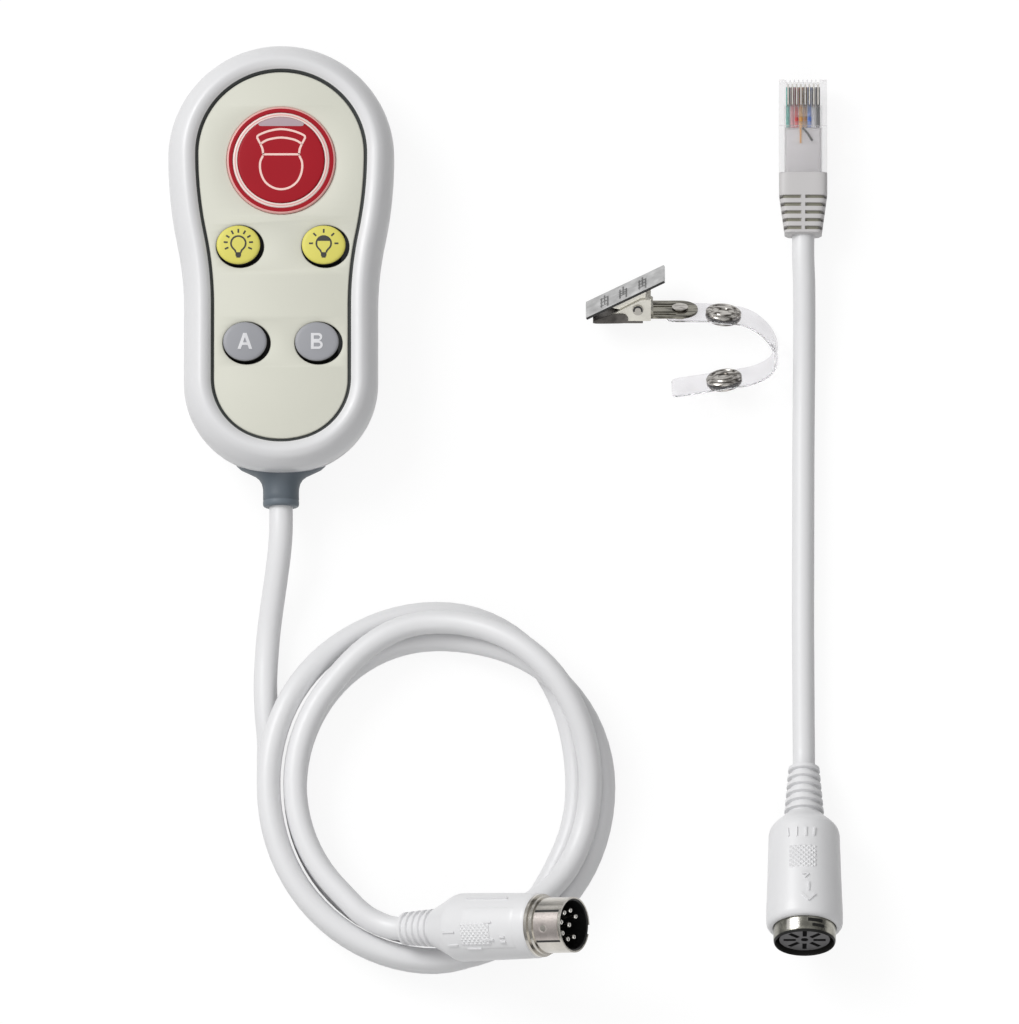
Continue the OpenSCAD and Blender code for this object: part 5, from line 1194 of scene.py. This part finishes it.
class NC_OT_round_socket(Maker, bpy.types.Operator):
    """Makes the round socket's ribbed relief and body, its metal sleeve and its insert"""
    bl_idname = "nurse_call.round_socket"
    bl_label = "Round Socket"

    def build(self, scene):
        a = scene.nc_adapter
        r0, r1, body = mm(a.rear_radius), mm(a.front_radius), mm(a.body)
        shoulder = mm(a.shoulder)
        start = -shoulder - mm(a.relief)
        profile = [(0, start), (3.2, start)]
        profile += [*ribbed(start, -shoulder, 3.7, 4.8, 6, 0.85)]
        profile += [*smooth_line([(4.7, -shoulder), (5.6, -3.2), (7.2, -1.7), (8.1, -0.4), (r0, 1)], 4)]
        profile += [(r0 + (r1 - r0) * 0.5, body * 0.5), (r1, body - 4), (r1, body - 1.5),
                    (r1 - 0.15, body - 0.8), (r1 - 0.5, body - 0.25), (r1 - 1.0, body), (7.6, body),
                    (7.5, body - 0.2), (7.5, body - 7.5), (0, body - 7.5)]
        place = (turn("x", 90 - math.degrees(a.tilt)), (mm(a.side), SOCKET_BACK, r0 * math.cos(a.tilt)))
        piece = Solid(*place)
        piece.grid(turned(profile))
        facing = 93
        swell = lambda s: r0 + (r1 - r0) * np.clip(s, 0, body - 4) / (body - 4)
        grip_mark(piece, swell, 6.9, 12.7, 3.35, facing)
        for s_span, w_span in SOCKET_BARS:
            raised_bar(piece, float(swell(np.mean(s_span))), facing, s_span, w_span, 0.3)
        piece.make("round_socket_body", ["grip_white"], stands_for=("socket_grip",), crease=35)
        self.sleeve(place, body + mm(a.cup_out))
        self.insert(place, body + mm(a.cup_out))

    def sleeve(self, place, mouth):
        """Metal cup that stands out of the body: its lip and inside are painted shade, with a bright spring
        tab and two dents painted as shade."""
        rows = [(0, 11.35, 0), (7.42, 11.35, 0), (7.42, 1.2, 0), (7.36, 0.7, 2), (7.25, 0.3, 2),
                (7.1, 0.05, 2), (7.0, 0.2, 2), (6.9, 0.5, 2), (6.9, 11.0, 2), (0, 11.0, 2)]
        profile = [(radius, mouth - depth) for radius, depth, finish in rows]
        piece = Solid(*place)
        # Finish 2 on the lip and inside, and on two of the tabs below, is painted shade.
        piece.grid(turned(profile), finish=np.array([row[2] for row in rows[:-1]])[:, None])
        tabs = ((112, 3.5, 0.9, 13, 1), (70, 3.5, 2.7, 14, 2), (64, 2.2, 1.5, 12, 2))
        for facing, low, high, reach, finish in tabs:
            angle = np.radians(facing + np.linspace(-reach, reach, 13))[None, :]
            s = np.linspace(mouth - low, mouth - high, 6)[:, None]
            piece.slab(on_round(7.52, angle, s), on_round(7.2, angle, s), finish=finish)
        piece.make("socket_cup", ("cup_nickel", "bright_nickel", "cup_shade"),
                   stands_for=("socket_sleeve",), crease=35)

    def insert(self, place, mouth):
        """Dark grey round insert with eight slots, one straight up and seven more like the spokes of a wheel,
        and a round hole in the middle; slots, hole and the insert's back are painted shade.
        """
        front = mouth - 1.0
        piece = Solid(*place)
        # The insert's back, seen round its face, takes the second finish: painted shade.
        piece.prism(circle((0, 0), 6.85, 72), mouth - 10.9, front - 1.4, wall=1, cap=1)
        piece.prism(circle((0, 0), 6.0, 72), front - 1.45, front)
        for t in np.radians(np.arange(8) * 45 + 90):
            d = np.array([math.cos(t), math.sin(t)])
            piece.ribbon([d * 2.1, d * 5.0], 1.0, front - 0.05, 0.1, 1)
        piece.prism(circle((0, 0.2), 0.85, 24), front - 0.05, front + 0.05, wall=1, cap=1)
        piece.make("socket_face", ["insert_grey", "slot_shade"],
                   stands_for=("socket_insert",), crease=35)


class NC_OT_flat_plug(Maker, bpy.types.Operator):
    """Makes the flat plug's coloured wires, its frosted strain bar and its ribbed boot"""
    bl_idname = "nurse_call.flat_plug"
    bl_label = "Flat Plug"

    def build(self, scene):
        a = scene.nc_adapter
        x, w = mm(a.side), mm(a.flat_width)
        self.wires(x)
        self.bar(x)
        self.boot(x, w)

    def wires(self, x):
        """Eight insulated wires side by side, each a tube from the jacket's end to its contact."""
        names = ("wire_teal", "wire_rose", "wire_red", "wire_orange", "wire_brown", "wire_blue", "wire_grey",
                 "wire_black")
        piece = Solid()
        for i in range(8):
            side = (i - 3.5) * WIRE_PITCH
            bared = 0.6 * abs(i - 3.2)
            line = smooth_line([(x + side * 0.8, 23.2, 4.6), (x + side * 0.9, 28, 4.6),
                                (x + side, 33 - bared, 5.4), (x + side, WIRE_END, 5.4)], 6)
            piece.grid(tube(line, WIRE_RADIUS, 12), finish=i)
        piece.make("flat_plug_leads", names, stands_for=("flat_plug_wires",))

    def bar(self, x):
        """Frosted bar that holds the jacket: a low block with an eased step to the front."""
        piece = Solid()
        piece.ribbon([(x - 0.1, 33.2), (x + 1.1, 31.8), (x + 2.2, 30.0)], 0.5, 7.5, 0.34, 1)
        piece.ribbon([(x - 0.6, 33.2), (x - 0.6, 29.4)], 0.45, 7.5, 0.34, 2)
        half, rear, front, foot = 4.35, 22.2, 33.5, 6.3
        u = np.linspace(-half, half, 30)[None, :]
        y = np.linspace(rear, front, 30)[:, None]
        fall = np.clip(np.minimum((front - y) / 0.8, (half - np.abs(u)) / 0.4), 0, 1) ** 0.5
        top = 6.6 + 1.2 * fall - 0.25 * np.clip(y - 29, 0, 1)
        shape = [np.stack(np.broadcast_arrays(x + u, y, z), -1) for z in (top, foot + 0 * top)]
        piece.slab(*shape)
        piece.make("flat_plug_bar", ("frosted", "wire_black", "wire_orange"))

    def boot(self, x, w):
        """Rounded box along the lead: half width and heights shrink to the rear, and five thin slots
        are sunk on each side of a middle bar, their sunk faces painted shade."""
        rear_half, rear_height, ease = 4.4, 3.85, 0.5
        y = np.concatenate([np.linspace(22.0, 17.4, 8), np.linspace(17.2, 7.6, 240), [7.42, 7.32, FLAT_REAR]])
        share = np.clip((17.1 - y) / 9.8, 0, 1)
        half = w / 2 * (1 - share) + rear_half * share
        low = 2.6 * (1 - share) + (FLAT_MID - rear_height) * share
        high = 10.6 * (1 - share) + (FLAT_MID + rear_height) * share
        end = np.clip((y - FLAT_REAR) / 0.3, 0, 1)
        half = half - ease * (1 - end)
        low, high = low + ease * (1 - end), high - ease * (1 - end)
        t = np.linspace(0, 2 * np.pi, 160, endpoint=False)
        cx, cz = np.cos(t), np.sin(t)
        box = np.maximum(np.abs(cx) ** 6 + np.abs(cz) ** 6, 1e-9) ** (-1 / 6)
        px = half[:, None] * cx * box
        pz = (low + high)[:, None] / 2 + (high - low)[:, None] / 2 * cz * box
        first, pitch, count, depth = 16.5, 1.86, 5, 0.7
        phase = ((first - y) % pitch) / pitch
        slot = ((phase < 0.44) & (y < first) & (y > first - count * pitch + 0.6)).astype(float)[:, None]
        face = (pz > (low + high)[:, None] / 2 + 0.4) & (np.abs(px) > 0.5)
        sunk = slot * face * depth
        side_in = np.sign(px) * sunk * (np.abs(px) > half[:, None] - 1)
        p = np.stack([x + px - side_in, y[:, None] + 0 * px, pz - sunk], -1)
        # The slots' sunk faces take rib_shade: painted shade in the slots.
        deep = sunk > 0
        shaded = deep[:-1] & deep[1:] & np.roll(deep, -1, 1)[:-1]
        cols = p.shape[1]
        ends = [np.repeat(row.mean(0)[None, None], cols, 1) for row in (p[0], p[-1])]
        plain = np.zeros((1, cols), bool)
        piece = Solid()
        finish = np.vstack([plain, shaded, plain]).astype(int)
        piece.grid(np.concatenate([ends[0], p, ends[1]]), finish=finish)
        piece.make("flat_plug_sleeve", ["grip_grey", "rib_shade"],
                   stands_for=("flat_plug_boot",), crease=28)


def clip_matrix(c):
    return turn("x", math.degrees(c.lean))


CLIP_AT = np.array([73, -8.6, -0.2])
RIVET_X = 21.95
STRAP_REACH = 23
STRAP_FOLD = 18.4
STRAP_SHARES = [(-0.139, 0), (0, 0), (0.257, 0.005), (0.448, 0.03), (0.639, 0.055), (0.778, 0.13),
                (0.896, 0.255), (0.97, 0.4), (0.996, 0.545), (0.957, 0.675), (0.861, 0.77), (0.713, 0.84),
                (0.457, 0.89), (0.217, 0.94), (-0.043, 0.99), (-0.087, 0.997)]
STRAP_ROUTE = [(STRAP_REACH * a, -STRAP_FOLD * b) for a, b in STRAP_SHARES]
CLIP_LOW = 0.5
CLIP_SHEET = 0.6
PIVOT_HOLE = 0.86
PIVOT = (11.9, 3.6)
LEVER_FOOT = (-0.2, 0.9)
LEVER_LENGTH = 21
LEVER_ANGLE = 28


class NC_OT_clip(Maker, bpy.types.Operator):
    """Makes the garment clip's jaw with its tail, and its lever plate"""
    bl_idname = "nurse_call.clip"
    bl_label = "Garment Clip"

    def build(self, scene):
        c = scene.nc_clip
        self.jaw(c)
        self.lever(c)

    def jaw(self, c):
        """Pale cheeks round the pivot, a floor with a turned-up tip, a heel and a patch at the near edge; the
        floor and the patch are painted shade under the lever.
        """
        low, wide, t = CLIP_LOW, mm(c.width), CLIP_SHEET
        piece = Solid(clip_matrix(c), CLIP_AT)
        cheek = np.array([(3.97, 0.62), (15.0, 0.62), (15.0, 6.0), (14.8, 6.2), (12.7, 6.2), (3.97, 1.25)])
        hole = [circle(PIVOT, PIVOT_HOLE, 32)]
        for z in (low, low + wide - t):
            piece.prism(cheek, z, z + t, hole)
        floor = np.array([(1.2, 0.0), (13.1, 0.0), (13.1, 0.6), (1.8, 0.6), (1.8, 1.2), (1.2, 1.2)])
        piece.prism(floor, low, low + wide, wall=1, cap=1)
        heel = np.array([(14.98, 1.2), (15.5, 1.2), (15.5, 2.8), (14.98, 3.1)])
        piece.prism(heel, low, low + wide, wall=2, cap=2)
        # Patch at the near side of the jaw's tip, in the second finish: painted shade under the lever.
        roll = smooth_line([(1.25, 0.3), (1.9, 0.05), (5.0, 0.05), (8.9, 0.2), (9.6, 1.0), (9.2, 2.1),
                            (8.0, 2.6), (5.4, 2.3), (2.4, 1.2), (1.35, 0.8)], 4)
        piece.prism(roll, low + wide + 0.02, low + wide + 0.3, wall=1, cap=1)
        piece.make("clip_base", ["cheek_steel", "jaw_shade", "tail_steel"],
                   stands_for=("clip_jaw",), crease=35)
        self.tail(c, low, wide)
        # Dark arc on the pivot's head: painted shade of the slot round the pivot.
        arch = Solid(clip_matrix(c), CLIP_AT)
        arch.ribbon(arc(*PIVOT, 0.95, 200, -20, 18), 0.42, low + wide + 0.38, 0.1)
        arch.make("clip_pivot_slot_shade", ["insert_black"])

    def tail(self, c, low, wide):
        """Dark tail plate of the jaw, with a round end, a rivet hole and four ridges along it."""
        end = arc(RIVET_X, low + wide / 2, wide / 2, -90, 90, 24)
        outline = np.vstack([end, [(15.0, low + wide), (15.0, low)]])
        piece = Solid(clip_matrix(c) @ np.array([[1, 0, 0], [0, 0, 1], [0, 1, 0.0]]), CLIP_AT)
        piece.prism(outline, 1.2, 1.8, [circle((RIVET_X, low + wide / 2), 1.25, 32)])
        for across in (2.2, 3.4, 6.4, 7.6):
            piece.ribbon([(15.6, across), (21.0, across)], 0.5, 1.75, 0.22)
        piece.make("clip_tail", ["tail_steel"], crease=35)

    def lever(self, c):
        """Stamped plate at its angle, its side edges painted shade, with three groups of pressed bars
        coloured darker as painted shade, and two ears.
        """
        low, wide, t = CLIP_LOW, mm(c.width), CLIP_SHEET
        e = np.array([math.cos(math.radians(LEVER_ANGLE)), math.sin(math.radians(LEVER_ANGLE))])
        n = np.array([-e[1], e[0]])
        foot = np.array(LEVER_FOOT)
        plate = np.array([foot, foot + LEVER_LENGTH * e, foot + LEVER_LENGTH * e + t * n, foot + t * n])
        piece = Solid(clip_matrix(c), CLIP_AT)
        # Both side edges of the plate take the second finish: painted shade.
        piece.prism(plate, low, low + wide, wall=0, cap=1)
        ear = np.array([(PIVOT[0] - 1.2, PIVOT[1] - 0.96), (PIVOT[0] + 1.2, PIVOT[1] - 0.96),
                        foot + LEVER_LENGTH * 0.76 * e, foot + LEVER_LENGTH * 0.3 * e])
        for z in (low + t + 0.1, low + wide - 2 * t - 0.1):
            piece.prism(ear, z, z + t, [circle(PIVOT, PIVOT_HOLE, 32)], wall=2, cap=2)
        piece.make("clip_lever_plate", ("lever_steel", "edge_shade", "cheek_steel"),
                   "clip_lever_body", ("clip_lever",), 35)
        face = np.column_stack([[*e, 0], [0, 0, 1], [*n, 0]])
        # The pressed bars are coloured darker than the plate: painted shade.
        marks = Solid(clip_matrix(c) @ face, CLIP_AT + clip_matrix(c) @ [*(foot + t * n), 0])
        for start, shift in ((4.2, 0.0), (9.2, 0.7), (14.4, 0.2)):
            for k, (near, far) in enumerate(((2.2, 6.8), (1.4, 5.6), (3.0, 7.4))):
                along = start + 0.85 * k
                marks.ribbon([(along, low + near), (along, low + far)], 0.38, -0.05, 0.12)
            for across in (2.6 + shift, 4.4, 6.2 - shift):
                marks.ribbon([(start - 0.3, low + across), (start + 1.9, low + across)], 0.3, -0.05, 0.1)
        marks.make("clip_lever_shaded_bars", ["pressed_bar_shade"], "clip_lever_body")


class NC_OT_strap(Maker, bpy.types.Operator):
    """Makes the clear strap and its two snap fasteners"""
    bl_idname = "nurse_call.strap"
    bl_label = "Strap and Snaps"

    def build(self, scene):
        """The strap is a ruled band: a smooth line on the surface carried along the clip's leaning width,
        with rounded corners at both ends."""
        c = scene.nc_clip
        m = clip_matrix(c)
        across, up = m[:, 2], m[:, 1]
        wide, thick = mm(c.strap_width), mm(c.strap_thickness)
        base = CLIP_AT + up * (1.2 - thick / 2 - 0.05)
        line = smooth_line([(RIVET_X + px, py) for px, py in STRAP_ROUTE], 8)
        line = np.column_stack([line, np.zeros(len(line))]) + base
        t = np.gradient(line, axis=0)
        t /= np.linalg.norm(t, axis=1, keepdims=True)
        n = np.cross(t, across)
        n /= np.linalg.norm(n, axis=1, keepdims=True)
        run = np.concatenate([[0], np.cumsum(np.linalg.norm(np.diff(line, axis=0), axis=1))])
        near = np.minimum(run, run[-1] - run)
        corner = 1.6
        drawn_in = corner - np.sqrt(np.clip(corner ** 2 - (corner - near) ** 2, 0, None))
        trim = np.where(near < corner, drawn_in, 0)
        v = np.linspace(0, 1, 15)[None, :]
        z = trim[:, None] + (wide - 2 * trim[:, None]) * v
        mid = line[:, None] + z[..., None] * across
        rim = np.clip(np.minimum(v, 1 - v) * wide / 0.4, 0, 1) ** 0.5 * 0.5 + 0.5
        half = (thick / 2 * rim)[..., None] * n[:, None]
        piece = Solid()
        piece.slab(mid + half, mid - half)
        piece.make("strap_band", ["strap_vinyl"], stands_for=("strap",), crease=60)
        self.snaps(c, base, across, wide)

    def snaps(self, c, base, across, wide):
        r = mm(c.snap_radius)
        thick = mm(c.strap_thickness)
        snaps = (("snap_front", "snap_socket", 3, -1), ("snap_back", "snap_stud", 12, 1))
        for name, node, place, flip in snaps:
            q = np.array([(RIVET_X + px, py, 0) for px, py in STRAP_ROUTE], float)
            along = q[place + 1] - q[place - 1]
            n = np.cross(along, across)
            n = flip * n / np.linalg.norm(n)
            side = along / np.linalg.norm(along)
            third = np.cross(n, side)
            matrix = np.column_stack([side, third / np.linalg.norm(third), n])
            piece = Solid(matrix, base + q[place] + across * wide / 2)
            t = thick / 2 + 0.05
            cap = [(0, t + 0.55), (1.1, t + 0.55), (1.35, t + 0.8), (1.9, t + 0.9), (2.5, t + 0.75),
                   (2.7, t + 0.55), (3.1, t + 0.55), (3.35, t + 0.75), (r - 0.3, t + 0.6), (r, t + 0.3),
                   (r, t), (0, t)]
            piece.grid(turned(cap, 64))
            back = [(0, -t), (r, -t), (r, -t - 0.35), (r - 0.4, -t - 0.7), (2.7, -t - 0.9), (2.2, -t - 0.9),
                    (2.0, -t - 1.1), (2.0, -t - 1.65), (1.7, -t - 1.8), (0, -t - 1.8)]
            piece.grid(turned(back, 64))
            piece.make(name, ["snap_nickel"], stands_for=(node,), crease=30)


class NC_PT_panel(bpy.types.Panel):
    bl_idname = "NC_PT_panel"
    bl_label = "Nurse Call Handset Kit"
    bl_space_type = "VIEW_3D"
    bl_region_type = "UI"
    bl_category = "Nurse Call"

    def draw(self, context):
        for operator in OPERATORS:
            self.layout.operator(operator.bl_idname)
        for key, group in SETTINGS.items():
            box = self.layout.box()
            box.label(text=group.__doc__)
            for name in group.__annotations__:
                box.prop(getattr(context.scene, key), name)


OPERATORS = (NC_OT_stage, NC_OT_finishes, NC_OT_node_finishes, NC_OT_handset_lead, NC_OT_adapter_lead,
             NC_OT_housing, NC_OT_call_button, NC_OT_keys, NC_OT_cable_sleeve, NC_OT_round_plug,
             NC_OT_round_socket, NC_OT_flat_plug, NC_OT_clip, NC_OT_strap)


def register():
    for cls in (*SETTINGS.values(), *OPERATORS, NC_PT_panel):
        bpy.utils.register_class(cls)
    for key, group in SETTINGS.items():
        setattr(bpy.types.Scene, key, PointerProperty(type=group))


def unregister():
    for key in SETTINGS:
        delattr(bpy.types.Scene, key)
    for cls in (NC_PT_panel, *reversed(OPERATORS), *reversed(SETTINGS.values())):
        bpy.utils.unregister_class(cls)


def main():
    register()
    bpy.context.scene.view_settings.view_transform = "Standard"
    for operator in OPERATORS:
        group, name = operator.bl_idname.split(".")
        getattr(getattr(bpy.ops, group), name)()


if __name__ == "__main__":
    main()
